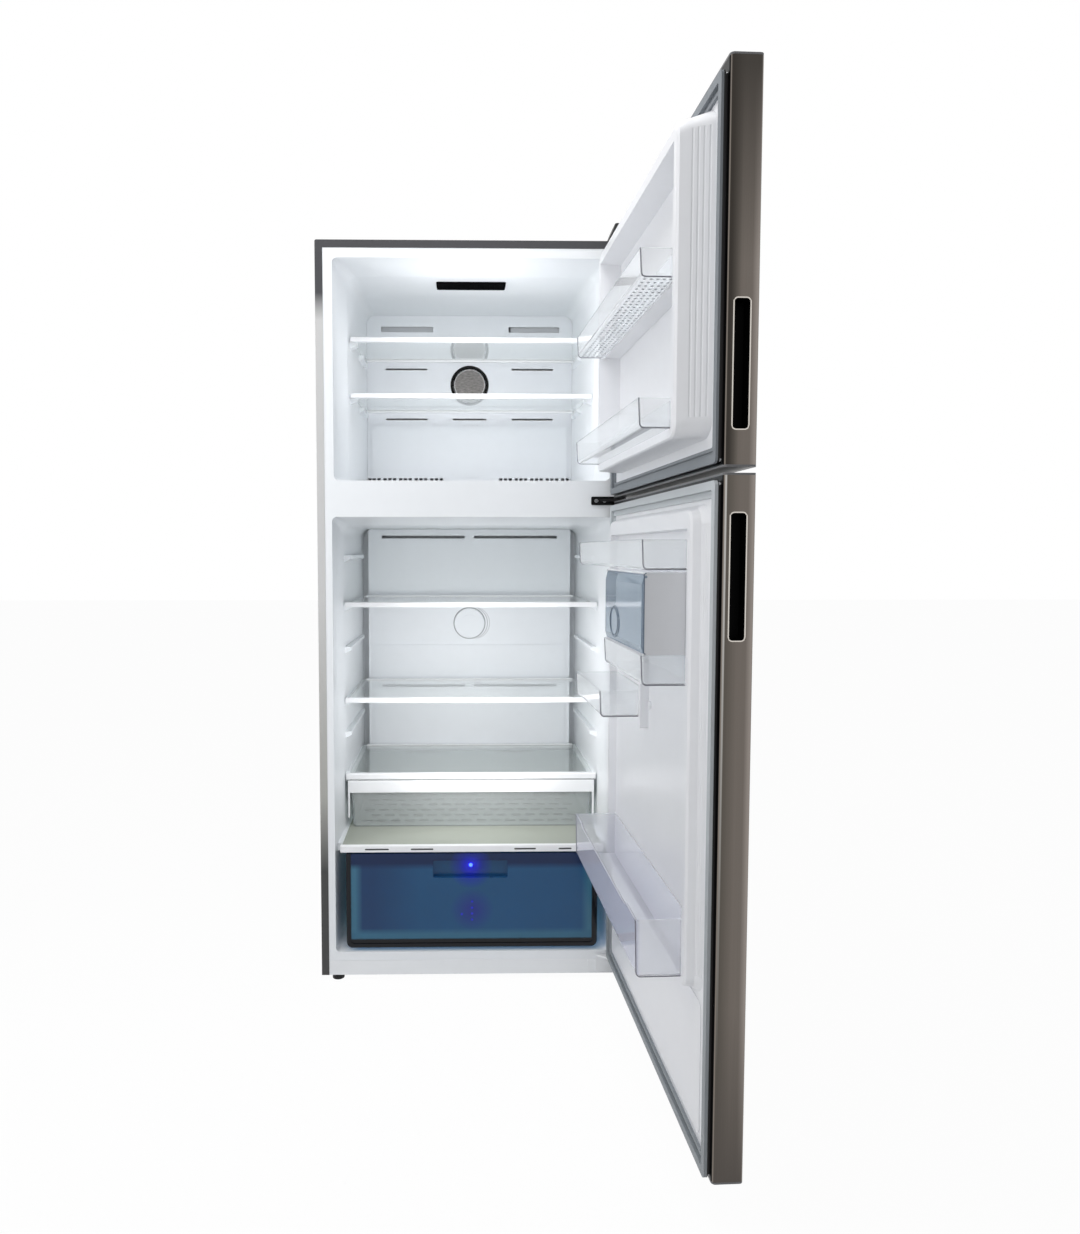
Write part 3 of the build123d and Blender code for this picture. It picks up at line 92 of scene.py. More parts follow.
def addTube(bm, points, radius, sides=8, closed=False):
    # round tube through points, each ring square to the path
    rings = []
    count = len(points)
    for index, point in enumerate(points):
        before = points[index - 1] if index or closed else point
        after = points[(index + 1) % count] if index < count - 1 or closed else point
        along = (after - before).normalized()
        guide = Vector((0, 0, 1)) if abs(along.z) < 0.9 else Vector((0, 1, 0))
        across = along.cross(guide).normalized()
        up = across.cross(along)
        ring = []
        for side in range(sides):
            turn = 2 * pi * side / sides
            ring.append(bm.verts.new(point + radius * (cos(turn) * across + sin(turn) * up)))
        rings.append(ring)
    pairs = list(zip(rings, rings[1:]))
    if closed:
        pairs.append((rings[-1], rings[0]))
    for near, far in pairs:
        for side in range(sides):
            nextSide = (side + 1) % sides
            bm.faces.new((near[side], near[nextSide], far[nextSide], far[side]))
    if not closed:
        bm.faces.new(rings[0])
        bm.faces.new(list(reversed(rings[-1])))


def addPrism(bm, outline, rise):
    # closed solid between an outline and the same outline moved by rise
    low = [bm.verts.new(point) for point in outline]
    high = [bm.verts.new(point + rise) for point in outline]
    count = len(outline)
    for index in range(count):
        following = (index + 1) % count
        bm.faces.new((low[index], low[following], high[following], high[index]))
    bm.faces.new(low)
    bm.faces.new(list(reversed(high)))


def addDisc(bm, centre, across, up, radius, rise, sides=12):
    turns = [2 * pi * side / sides for side in range(sides)]
    outline = [centre + radius * (cos(turn) * across + sin(turn) * up) for turn in turns]
    addPrism(bm, outline, rise)


def roundedLoop(low, high, corner, steps=5):
    # flat outline of a rectangle with round corners, as pairs
    corners = (
        (high[0] - corner, high[1] - corner, 0),
        (low[0] + corner, high[1] - corner, 1),
        (low[0] + corner, low[1] + corner, 2),
        (high[0] - corner, low[1] + corner, 3),
    )
    loop = []
    for x, y, quarter in corners:
        for step in range(steps + 1):
            turn = (quarter + step / steps) * pi / 2
            loop.append((x + corner * cos(turn), y + corner * sin(turn)))
    return loop


# helpers for materials

def tone(*screen):
    # a colour as a screen shows it, 0 to 255, turned into the light values that shaders take
    return tuple(((value / 255 + 0.055) / 1.055) ** 2.4 for value in screen)


def nodeMaterial(name):
    material = bpy.data.materials.new(name)
    material.use_nodes = True
    tree = material.node_tree
    shader = tree.nodes["Principled BSDF"]
    return material, tree, shader


def put(tree, kind, **values):
    node = tree.nodes.new(kind)
    for key, value in values.items():
        if key in node.inputs:
            node.inputs[key].default_value = value
        else:
            setattr(node, key, value)
    return node


def stretched(tree, scale):
    coords = put(tree, "ShaderNodeTexCoord")
    mapping = put(tree, "ShaderNodeMapping")
    mapping.inputs["Scale"].default_value = scale
    tree.links.new(coords.outputs["Object"], mapping.inputs["Vector"])
    return mapping.outputs["Vector"]


def homeCoords(tree, door):
    # metres from the cabinet's front centre, for a door piece as it lies with the door shut
    coords = put(tree, "ShaderNodeTexCoord")
    mapping = put(tree, "ShaderNodeMapping")
    if door:
        back = Matrix.Rotation(-doorTurn, 3, "Z")
        mapping.inputs["Location"].default_value = hingeFlat - shift - back @ hingeFlat
        mapping.inputs["Rotation"].default_value = (0, 0, -doorTurn)
    else:
        mapping.inputs["Location"].default_value = -shift
    tree.links.new(coords.outputs["Object"], mapping.inputs["Vector"])
    return mapping.outputs["Vector"]


def ramp(tree, source, start, end):
    # 0 at start and 1 at end, in millimetres
    node = put(tree, "ShaderNodeMapRange")
    node.inputs["From Min"].default_value = mm(start)
    node.inputs["From Max"].default_value = mm(end)
    tree.links.new(source, node.inputs["Value"])
    return node.outputs["Result"]


def maskFrom(tree, coords, rows):
    # product of ramps: (axis, start, end), or ("ring", x, z, start, end) outwards from a centre
    split = put(tree, "ShaderNodeSeparateXYZ")
    tree.links.new(coords, split.inputs[0])
    result = None
    for row in rows:
        if row[0] == "ring":
            flat = put(tree, "ShaderNodeCombineXYZ")
            tree.links.new(split.outputs["X"], flat.inputs["X"])
            tree.links.new(split.outputs["Z"], flat.inputs["Z"])
            away = put(tree, "ShaderNodeVectorMath", operation="DISTANCE")
            away.inputs[1].default_value = (mm(row[1]), 0, mm(row[2]))
            tree.links.new(flat.outputs[0], away.inputs[0])
            factor = ramp(tree, away.outputs["Value"], row[3], row[4])
        else:
            factor = ramp(tree, split.outputs[row[0].upper()], row[1], row[2])
        if result:
            times = put(tree, "ShaderNodeMath", operation="MULTIPLY")
            tree.links.new(result, times.inputs[0])
            tree.links.new(factor, times.inputs[1])
            factor = times.outputs[0]
        result = factor
    return result


def paint(tree, shader, look):
    # base colour, then each layer over it where its mask says, then a slight wander of tone
    coords = homeCoords(tree, look.get("door", False))
    colour = None
    for layer, rows in look.get("layers", ()):
        mix = put(tree, "ShaderNodeMix", data_type="RGBA")
        tree.links.new(maskFrom(tree, coords, rows), mix.inputs[0])
        if colour:
            tree.links.new(colour, mix.inputs[6])
        else:
            mix.inputs[6].default_value = (*look["colour"], 1)
        mix.inputs[7].default_value = (*layer, 1)
        colour = mix.outputs[2]
    noise = put(tree, "ShaderNodeTexNoise", Scale=look.get("wanderScale", 30), Detail=3)
    tree.links.new(stretched(tree, look.get("stretch", (1, 1, 1))), noise.inputs["Vector"])
    wander = look.get("wander", 0.015)
    level = put(tree, "ShaderNodeMapRange")
    level.inputs["To Min"].default_value = 1 - wander
    level.inputs["To Max"].default_value = 1 + wander
    tree.links.new(noise.outputs["Fac"], level.inputs["Value"])
    scaled = put(tree, "ShaderNodeVectorMath", operation="SCALE")
    if colour:
        tree.links.new(colour, scaled.inputs[0])
    else:
        scaled.inputs[0].default_value = look["colour"]
    tree.links.new(level.outputs["Result"], scaled.inputs["Scale"])
    tree.links.new(scaled.outputs[0], shader.inputs["Base Color"])


def roughen(tree, shader, look):
    low, high = look.get("rough", (0.3, 0.4))
    noise = put(tree, "ShaderNodeTexNoise", Scale=look.get("roughScale", 40), Detail=3)
    tree.links.new(stretched(tree, look.get("stretch", (1, 1, 1))), noise.inputs["Vector"])
    spread = put(tree, "ShaderNodeMapRange")
    spread.inputs["To Min"].default_value = low
    spread.inputs["To Max"].default_value = high
    tree.links.new(noise.outputs["Fac"], spread.inputs["Value"])
    tree.links.new(spread.outputs["Result"], shader.inputs["Roughness"])


def grain(tree, shader, look):
    noise = put(tree, "ShaderNodeTexNoise", Scale=look.get("grain", 700), Detail=2)
    tree.links.new(stretched(tree, look.get("stretch", (1, 1, 1))), noise.inputs["Vector"])
    bump = put(tree, "ShaderNodeBump", Strength=look.get("bump", 0.04), Distance=0.0002)
    tree.links.new(noise.outputs["Fac"], bump.inputs["Height"])
    tree.links.new(bump.outputs["Normal"], shader.inputs["Normal"])


def finish(name, look):
    material, tree, shader = nodeMaterial(name)
    shader.inputs["Metallic"].default_value = look.get("metallic", 0)
    shader.inputs["Specular IOR Level"].default_value = look.get("gloss", 0.5)
    paint(tree, shader, look)
    roughen(tree, shader, look)
    grain(tree, shader, look)
    clear = look.get("clear", 0)
    if "bend" in look:
        shader.inputs["IOR"].default_value = look["bend"]
    if clear:
        # the lamps' light passes through, tinted
        shader.inputs["Transmission Weight"].default_value = clear
        rays = put(tree, "ShaderNodeLightPath")
        passing = put(tree, "ShaderNodeBsdfTransparent")
        passing.inputs["Color"].default_value = (*look["shade"], 1)
        mix = put(tree, "ShaderNodeMixShader")
        tree.links.new(rays.outputs["Is Shadow Ray"], mix.inputs[0])
        tree.links.new(shader.outputs[0], mix.inputs[1])
        tree.links.new(passing.outputs[0], mix.inputs[2])
        tree.links.new(mix.outputs[0], tree.nodes["Material Output"].inputs["Surface"])
    return material


# finishes, one row for each of the model's material slots that a node still shows
# "layers" holds a colour and the bands it fills, each band as (axis, where it starts, where it is full)

brushed = (90, 90, 1.2)  # stretches the noise along the height
fanCentre = (0, 1457)
discCentre = (0, 797)
freeEdge = ("x", -348.8, -349.2)  # the long side of a door that carries the handle
frontFlange = ("y", 2.2, 1.8)  # the cabinet's front rim
leftFlange = ("x", -330, -331)
foldShade = tone(10, 10, 11)  # painted shade in the deep folds round the gaskets

crisperFront = ("y", 20, 10)
gripAndFront = ("y", 62, 46)  # the lamp's glow stays off the drawer's back wall
lightSpot = (-3, 267)
mirrorSpots = ((0, 185), (0, 170), (0, 156), (0, 142), (-24, 155))  # the lamp as the drawer mirrors it
# over the drawer's blue: painted shade, painted highlights, the lamp's painted glow and its painted
# reflections
crisperPaintedLight = [
    (tone(32, 72, 118), [crisperFront, ("x", -120, -230)]),  # painted shade, deeper on the left
    (tone(72, 128, 156), [crisperFront, ("x", -255, -272)]),  # painted highlights along the sides and the foot
    (tone(72, 128, 156), [crisperFront, ("x", 255, 272)]),
    (tone(66, 122, 152), [crisperFront, ("z", 122, 108)]),
    # painted shade under the top
    (tone(18, 48, 94), [crisperFront, ("z", 262, 276)]),
    (tone(6, 11, 22), [crisperFront, ("z", 99, 95)]),  # painted shade in the gap round the drawer, nearly black
    (tone(8, 13, 24), [crisperFront, ("x", 278, 281)]),
    (tone(8, 13, 24), [crisperFront, ("x", -280, -283)]),
    (tone(30, 44, 200), [gripAndFront, ("ring", *lightSpot, 52, 8)]),  # the lamp's halo
    (tone(40, 50, 255), [gripAndFront, ("ring", *lightSpot, 28, 5)]),
    (tone(44, 66, 150), [gripAndFront, ("ring", 0, 165, 52, 10)]),  # its reflection below
]
for spot in mirrorSpots:
    crisperPaintedLight.append((tone(50, 60, 235), [gripAndFront, ("ring", *spot, 3.4, 1.8)]))

looks = {
    "wrapper_steel": {
        "colour": tone(70, 70, 73),
        "metallic": 0.3,
        "rough": (0.34, 0.42),
        "layers": [
            # painted reflection on the cabinet's left front flange: pale down most of its height, dark at
            # the top and at the foot
            (tone(196, 196, 196), [frontFlange, leftFlange, ("z", 1575, 1515)]),
            (tone(168, 168, 164), [frontFlange, leftFlange, ("z", 900, 480)]),
            (tone(66, 66, 66), [frontFlange, leftFlange, ("z", 440, 260)]),
        ],
    },
    "back_steel": {"colour": tone(172, 175, 178), "metallic": 0.4, "rough": (0.4, 0.5), "wander": 0.04},
    "base_steel": {"colour": tone(238, 240, 242), "rough": (0.35, 0.45)},
    "foam": {
        "colour": tone(226, 214, 176),
        "rough": (0.7, 0.9),
        "grain": 200,
        "bump": 0.4,
        "wander": 0.06,
        "layers": [(tone(120, 122, 124), [("y", 586, 587.5)])],  # painted where it meets the back
    },
    "liner_white": {"colour": tone(236, 239, 242), "rough": (0.28, 0.34)},
    "panel_white": {"colour": tone(234, 237, 241), "rough": (0.30, 0.36)},
    "coil_aluminium": {"colour": tone(205, 207, 210), "metallic": 1, "rough": (0.3, 0.45), "wander": 0.05},
    "black_plastic": {"colour": tone(14, 14, 15), "rough": (0.35, 0.5), "gloss": 0.2},
    "dark_plastic": {"colour": tone(8, 8, 9), "rough": (0.45, 0.55), "gloss": 0.05, "bend": 1.1},
    "grille_grey": {
        "colour": tone(132, 129, 127),
        "metallic": 0.6,
        "rough": (0.25, 0.45),
        "wander": 0.8,
        "wanderScale": 110,
        "stretch": (1, 1, 3),
        "layers": [
            (tone(205, 204, 203), [("ring", *fanCentre, 39.5, 41.5)]),  # bright line inside the rim
            (tone(16, 16, 17), [("ring", *fanCentre, 43.2, 44.2)]),  # dark rim
        ],
    },
    "compressor_black": {"colour": tone(28, 28, 29), "metallic": 0.2, "rough": (0.25, 0.4)},
    "mount_rubber": {"colour": tone(30, 30, 30), "rough": (0.7, 0.85), "gloss": 0.2},
    "condenser_black": {"colour": tone(30, 30, 32), "metallic": 0.3, "rough": (0.4, 0.55)},
    "hinge_steel": {"colour": tone(14, 14, 15), "metallic": 0.2, "rough": (0.35, 0.5), "gloss": 0.2},
    "shelf_glass": {
        "colour": (0.97, 0.99, 0.985),
        "clear": 0.94,
        "bend": 1.3,
        "shade": (0.93, 0.96, 0.95),
        "rough": (0.0, 0.02),
        "bump": 0.0,
    },
    "trim_white": {"colour": tone(240, 241, 243), "rough": (0.2, 0.28)},
    "roller_plastic": {"colour": tone(26, 26, 27), "rough": (0.4, 0.55), "gloss": 0.3},
    "foot_plastic": {"colour": tone(24, 24, 25), "rough": (0.4, 0.55), "gloss": 0.3},
    "clear_plastic": {
        "colour": (0.96, 0.97, 0.98),
        "clear": 0.8,
        "bend": 1.28,
        "shade": (0.95, 0.96, 0.97),
        "rough": (0.02, 0.05),
        "bump": 0.01,
    },
    "crisper_blue": {
        "colour": tone(38, 94, 140),
        "clear": 0.35,
        "bend": 1.35,
        "shade": (0.5, 0.68, 0.8),
        "rough": (0.08, 0.12),
        "bump": 0.01,
        "wander": 0.08,
        "wanderScale": 6,
        "layers": crisperPaintedLight,
    },
    "tinted_plastic": {
        "colour": tone(176, 190, 202),
        "door": True,
        "clear": 0.5,
        "bend": 1.35,
        "shade": (0.75, 0.82, 0.88),
        "rough": (0.04, 0.08),
        "bump": 0.01,
        "layers": [(tone(136, 152, 168), [("x", -88, -82), ("z", 900, 907)])],  # deeper corner of the flap
    },
    "door_steel": {
        "colour": tone(128, 120, 113),
        "door": True,
        "metallic": 1,
        "rough": (0.32, 0.4),
        "stretch": brushed,
        "grain": 12,
        "bump": 0.05,
        "wander": 0.06,
        "wanderScale": 8,
        "layers": [
            (tone(112, 105, 99), [freeEdge]),
            (tone(90, 85, 79), [freeEdge, ("y", -34, -16)]),  # painted shade, darker towards the gasket
            (tone(156, 148, 142), [freeEdge, ("y", -46, -57)]),  # painted reflection, lighter towards the door's face
            (tone(70, 66, 62), [freeEdge, ("z", 1400, 1670)]),  # painted reflection, darker to the top
            (tone(84, 79, 75), [freeEdge, ("z", 330, 66)]),  # and to the foot
            (tone(60, 56, 52), [freeEdge, ("y", -30, -16), ("z", 1112, 1119)]),  # painted shade towards the gasket, upper door only
            # painted highlight along the hem at the back of the free edge, lower door only
            (tone(186, 184, 180), [freeEdge, ("y", -15.6, -14.6), ("z", 240, 1000), ("z", 1119, 1112)]),
            (tone(6, 6, 7), [("y", -11.4, -11)]),  # painted shade in the fold that the gasket sits in
        ],
    },
    "cap_grey": {"colour": tone(104, 104, 106), "rough": (0.3, 0.4), "gloss": 0.5},
}

sealEdge = {"half": 339.2, "in": 2.5, "soft": 0.4}  # where the folds of the gaskets start
behindGasket = ("y", -8, -8.4)


def gasketShadow(low, high, depth):
    # painted shade in the folds on the outer side of the bead, between the steel and the part that seals
    half, inside, soft = sealEdge["half"], sealEdge["in"], sealEdge["soft"]
    deep = ("y", -depth, -depth - soft)
    sides = [
        ("x", -half, -half - soft),
        ("x", half, half + soft),
        ("z", low + inside + soft, low + inside),
        ("z", high - inside - soft, high - inside),
    ]
    return [(foldShade, [deep, side]) for side in sides]


# pieces that differ a little from their slot's finish
extraLooks = {
    "doorLiner": {
        "colour": tone(236, 237, 240),
        "door": True,
        "rough": (0.28, 0.34),
        "layers": [
            # painted shade on the liner's rim behind the gasket, outside the seal
            (foldShade, [behindGasket, ("x", -338.8, -339.2)]),
            (foldShade, [behindGasket, ("x", 338.8, 339.2)]),
            (foldShade, [behindGasket, ("z", 70.4, 70)]),
            (foldShade, [behindGasket, ("z", 1099.6, 1100), ("z", 1128.4, 1128)]),
            (foldShade, [behindGasket, ("z", 1664, 1664.4)]),
        ],
    },
    "handleCup": {"colour": tone(3, 3, 3), "rough": (0.5, 0.6), "gloss": 0.05},
    "boxGrey": {
        "colour": tone(232, 233, 236),
        "clear": 0.12,
        "bend": 1.3,
        "shade": (0.8, 0.8, 0.82),
        "rough": (0.1, 0.16),
    },
    # the two gaskets are one rubber, painted in two tones for the light on each door
    "freezerGasket": {
        "colour": tone(128, 133, 138),
        "door": True,
        "rough": (0.45, 0.55),
        "gloss": 0.3,
        "layers": gasketShadow(1126, 1667, 4),
    },
    "fridgeGasket": {
        "colour": tone(146, 151, 155),
        "door": True,
        "rough": (0.45, 0.55),
        "gloss": 0.3,
        # painted light: the fridge gasket paler from its lower part upwards
        "layers": [(tone(190, 195, 198), [("z", 200, 700)]), *gasketShadow(67.5, 1102, 5.2)],
    },
    "bottleClear": {
        "colour": (0.94, 0.95, 0.97),
        "door": True,
        "clear": 0.7,
        "bend": 1.28,
        "shade": (0.9, 0.9, 0.94),
        "rough": (0.03, 0.06),
        "bump": 0.01,
        "layers": [(tone(226, 227, 237), [("y", 78, 82)])],
    },
    "coverGlass": {
        "colour": tone(186, 190, 180),
        "clear": 0.35,
        "bend": 1.3,
        "shade": (0.8, 0.84, 0.76),
        "rough": (0.05, 0.1),
        "bump": 0.0,
    },
    "coverTrim": {
        "colour": tone(240, 241, 243),
        "rough": (0.2, 0.28),
        # painted shade inside the recessed dashes of the trim
        "layers": [(tone(116, 118, 119), [("y", 1.8, 2.4), ("z", 308.4, 308.9), ("z", 313.6, 313.1)])],
    },
    "ductFace": {
        "colour": tone(234, 237, 241),
        "rough": (0.3, 0.36),
        "layers": [
            # painted shade round the cover disc's edge, then painted shadow lines offset to the disc's
            # right
            (tone(150, 152, 155), [("ring", *discCentre, 42.6, 43.2), ("ring", *discCentre, 45.6, 45)]),
            *(
                (tone(level, level + 2, level + 5), [
                    ("ring", aside, discCentre[1], 44, 44.5),
                    ("ring", aside, discCentre[1], 46.2, 45.7),
                    ("x", aside + 2, aside + 24),
                ])
                for aside, level in ((6, 176), (12, 196))
            ),
        ],
    },
    "trayClear": {
        "colour": (0.80, 0.83, 0.83),
        "clear": 0.8,
        "bend": 1.28,
        "shade": (0.88, 0.9, 0.9),
        "rough": (0.0, 0.02),
        "bump": 0.01,
    },
}

# which piece wears which of those
dressed = {
    "freezer_door_gasket": "freezerGasket",
    "fridge_door_gasket": "fridgeGasket",
    "freezer_door_liner": "doorLiner",
    "fridge_door_liner": "doorLiner",
    "freezer_door_handle_cup": "handleCup",
    "fridge_door_handle_cup": "handleCup",
    "utility_box": "boxGrey",
    "bottle_balcony": "bottleClear",
    "crisper_cover_glass": "coverGlass",
    "crisper_cover_trim": "coverTrim",
    "air_duct_panel": "ductFace",
    "duct_cover_disc": "ductFace",
    "chiller_tray": "trayClear",
}

finishes = {name: finish(name, look) for name, look in {**looks, **extraLooks}.items()}
slotOf = {row["node"]: row["material_slot"] for row in frame["record"]["subparts"]}
for name, node in nodes.items():
    node.data.materials.clear()
    node.data.materials.append(finishes[dressed.get(name, slotOf[name])])
print("finishes on", len(nodes), "nodes")


# stage, lamps and camera

stageLook = {
    "floorColour": (0.95, 0.955, 0.96),
    "floorSize": 30,
    "floorRough": 0.9,
    "floorGloss": 0.1,
    "showThrough": 0.97,  # how much of the floor's white the camera, mirrors and glass see
    "worldColour": (0.95, 0.97, 1.0),
    "worldLevel": 0.15,
}


def seenRays(tree):
    # 1 for what the camera sees straight, mirrored or through glass
    rays = put(tree, "ShaderNodeLightPath")
    total = rays.outputs["Is Camera Ray"]
    for kind in ("Is Transmission Ray", "Is Glossy Ray"):
        more = put(tree, "ShaderNodeMath", operation="MAXIMUM")
        tree.links.new(total, more.inputs[0])
        tree.links.new(rays.outputs[kind], more.inputs[1])
        total = more.outputs[0]
    return total


def makeStage(look):
    world = bpy.data.worlds.new("studio")
    bpy.context.scene.world = world
    world.use_nodes = True
    tree = world.node_tree
    back = tree.nodes["Background"]
    back.inputs[0].default_value = (*look["worldColour"], 1)
    back.inputs[1].default_value = look["worldLevel"]
    white = put(tree, "ShaderNodeBackground")
    white.inputs[0].default_value = (1, 1, 1, 1)
    mix = put(tree, "ShaderNodeMixShader")
    tree.links.new(seenRays(tree), mix.inputs[0])
    tree.links.new(back.outputs[0], mix.inputs[1])
    tree.links.new(white.outputs[0], mix.inputs[2])
    tree.links.new(mix.outputs[0], tree.nodes["World Output"].inputs["Surface"])

    material, tree, shader = nodeMaterial("paleFloor")
    shader.inputs["Roughness"].default_value = look["floorRough"]
    shader.inputs["Specular IOR Level"].default_value = look["floorGloss"]
    paint(tree, shader, {"colour": look["floorColour"], "wander": 0.01, "wanderScale": 2})
    glow = put(tree, "ShaderNodeEmission")
    share = put(tree, "ShaderNodeMath", operation="MULTIPLY")
    share.inputs[1].default_value = look["showThrough"]
    tree.links.new(seenRays(tree), share.inputs[0])
    mix = put(tree, "ShaderNodeMixShader")
    tree.links.new(share.outputs[0], mix.inputs[0])
    tree.links.new(shader.outputs[0], mix.inputs[1])
    tree.links.new(glow.outputs[0], mix.inputs[2])
    tree.links.new(mix.outputs[0], tree.nodes["Material Output"].inputs["Surface"])
    bpy.ops.mesh.primitive_plane_add(size=look["floorSize"], location=(0, 0, 0))
    floor = bpy.context.object
    floor.name = "floor"
    floor.data.materials.append(material)


# cabinet millimetres for places, watts for power
lamps = {
    "frontSoft": {"at": (-500, -3900, 1500), "aim": (0, 0, 900), "size": (2600, 2600), "power": 27},
    "topSoft": {"at": (0, -1300, 3400), "aim": (0, -200, 800), "size": (2400, 2000), "power": 5},
    "rightSoft": {"at": (2600, -2200, 1500), "aim": (0, 0, 900), "size": (1800, 2200), "power": 3},
    "leftNear": {"at": (-1300, -620, 1300), "aim": (250, -150, 1250), "size": (500, 1300), "power": 12},
    "topNear": {"at": (-200, -560, 2600), "aim": (0, 150, 700), "size": (900, 500), "power": 14},
    "fridgeMouth": {"at": (0, -40, 650), "aim": (0, 500, 650), "size": (260, 380), "power": 1.4},
    "freezerMouth": {"at": (0, -40, 1420), "aim": (0, 500, 1520), "size": (260, 240), "power": 0.9},
}


def makeLamps(rows):
    for name, row in rows.items():
        light = bpy.data.lights.new(name, "AREA")
        light.shape = "RECTANGLE"
        light.size, light.size_y = (mm(side) for side in row["size"])
        light.energy = row["power"]
        lamp = bpy.data.objects.new(name, light)
        bpy.context.scene.collection.objects.link(lamp)
        lamp.location = inCabinet(*row["at"])
        facing = inCabinet(*row["aim"]) - inCabinet(*row["at"])
        lamp.rotation_euler = facing.to_track_quat("-Z", "Y").to_euler()
        lamp.visible_camera = False
        lamp.visible_glossy = False
        lamp.visible_transmission = False


cameraLook = {
    "at": (-31.2, -1888.6, 1002),
    "down": 3.25,
    "turn": 0.92,
    "lens": 24.23,
    "shift": (0.0553, -0.0156),
}


def makeCamera(look):
    data = bpy.data.cameras.new("camera")
    data.lens = look["lens"]
    data.sensor_width = 36
    data.shift_x, data.shift_y = look["shift"]
    data.clip_start = 0.01
    camera = bpy.data.objects.new("camera", data)
    bpy.context.scene.collection.objects.link(camera)
    camera.location = inCabinet(*look["at"])
    camera.rotation_euler = (radians(90 - look["down"]), 0, radians(-look["turn"]))
    bpy.context.scene.camera = camera


makeStage(stageLook)
makeLamps(lamps)
makeCamera(cameraLook)
bpy.context.scene.view_settings.view_transform = "Standard"
print("stage, lamps and camera set")


# bright rims round the handle pockets

handleRim = {"near": -44.6, "far": -20.4, "corner": 6, "thick": 1.2, "proud": 0.5, "edge": 350}
pockets = {"freezer_door": (1172, 1354), "fridge_door": (873, 1056)}
rimChrome = finish("rimChrome", {"colour": tone(212, 206, 198), "metallic": 1, "rough": (0.15, 0.25)})


def makeHandleRims(look):
    for body, (low, high) in pockets.items():
        bm = bmesh.new()
        loop = roundedLoop((look["near"], low), (look["far"], high), look["corner"])
        x = -look["edge"] - look["proud"] + look["thick"] / 2
        points = [onDoor(x, y, z) for y, z in loop]
        addTube(bm, points, mm(look["thick"]), 8, closed=True)
        meshPiece(body + "_handle_rim", bm, rimChrome, body)


makeHandleRims(handleRim)
print("handle rims made")


# slats behind the freezer's air slots

slotSlats = {
    "near": 432.8,
    "deep": 4.2,
    "thick": 1.1,
    "pitch": 3.2,
    "start": 1599,  # height of the lowest slat in the wide slots
    "count": 5,
    "wide": ((-244, -99), (113, 248)),
    "thin": ((-230, -116), (116, 230)),
    "thinHeights": (1496, 1360),
    "middle": (-46, 46),  # the short slot, in the lower row only
}
slatWhite = finish("slatWhite", {"colour": tone(238, 240, 243), "rough": (0.4, 0.5)})
# the thin slots' slats are the same white plastic as the wide ones, painted grey as shade in the slots
slatShadeGrey = finish("slatShadeGrey", {"colour": tone(186, 183, 180), "rough": (0.5, 0.6)})


def addSlat(bm, left, right, low, look):
    near, deep, thick = look["near"], look["deep"], look["thick"]
    side = ((near, low), (near + thick, low), (near + deep + thick, low + deep), (near + deep, low + deep))
    outline = [inCabinet(left, y, z) for y, z in side]
    addPrism(bm, outline, Vector((mm(right - left), 0, 0)))


def makeSlotSlats(look):
    bm = bmesh.new()
    for left, right in look["wide"]:
        for index in range(look["count"]):
            addSlat(bm, left, right, look["start"] + index * look["pitch"], look)
    meshPiece("freezer_slot_slats", bm, slatWhite, "cabinet", smooth=False)
    bm = bmesh.new()
    for left, right in look["thin"]:
        for low in look["thinHeights"]:
            addSlat(bm, left, right, low, look)
    addSlat(bm, *look["middle"], look["thinHeights"][1], look)
    meshPiece("freezer_thin_slats", bm, slatShadeGrey, "cabinet", smooth=False)


makeSlotSlats(slotSlats)
print("slot slats made")


# moulded rims of the door bins: side walls in dark grey as painted shade, then the line along the top of
# the front in pale grey as a painted highlight

binRim = {
    "radius": 0.8,
    "corner": 7,  # round of the front's foot
    "lean": 2,  # how far the front leans out over its height
    "leanShare": 0.85,  # how much of that is left where the round starts
    "sideIn": 0.4,
    "backIn": 0.3,
    "topIn": 0.6,
    "dipStart": 60,  # the bottle bin's front drops between these two
    "dipEnd": 75,
}
bins = {
    "freezer_upper_balcony": {"across": (-262, 262), "up": (1409, 1451), "back": 32, "front": 90},
    "freezer_lower_balcony": {"across": (-262, 262), "up": (1186, 1231), "back": 32, "front": 90},
    "fridge_top_balcony": {"across": (-262, 262), "up": (973, 1019), "back": -2, "front": 82},
    "utility_balcony": {"across": (-262, 1.7), "up": (796, 842), "back": -2, "front": 82},
    "half_balcony": {"across": (16.3, 262), "up": (692, 741), "back": -2, "front": 87},
    "bottle_balcony": {"across": (-262, 262), "up": (338, 429), "back": -2, "front": 86, "dip": 6},
}
# dark grey for painted shade down the side walls, pale grey for a painted highlight along the top
edgeShadeGrey = finish("edgeShadeGrey", {"colour": tone(112, 112, 121), "rough": (0.2, 0.3)})
edgeHighlightPale = finish("edgeHighlightPale", {"colour": tone(204, 206, 212), "rough": (0.15, 0.25)})


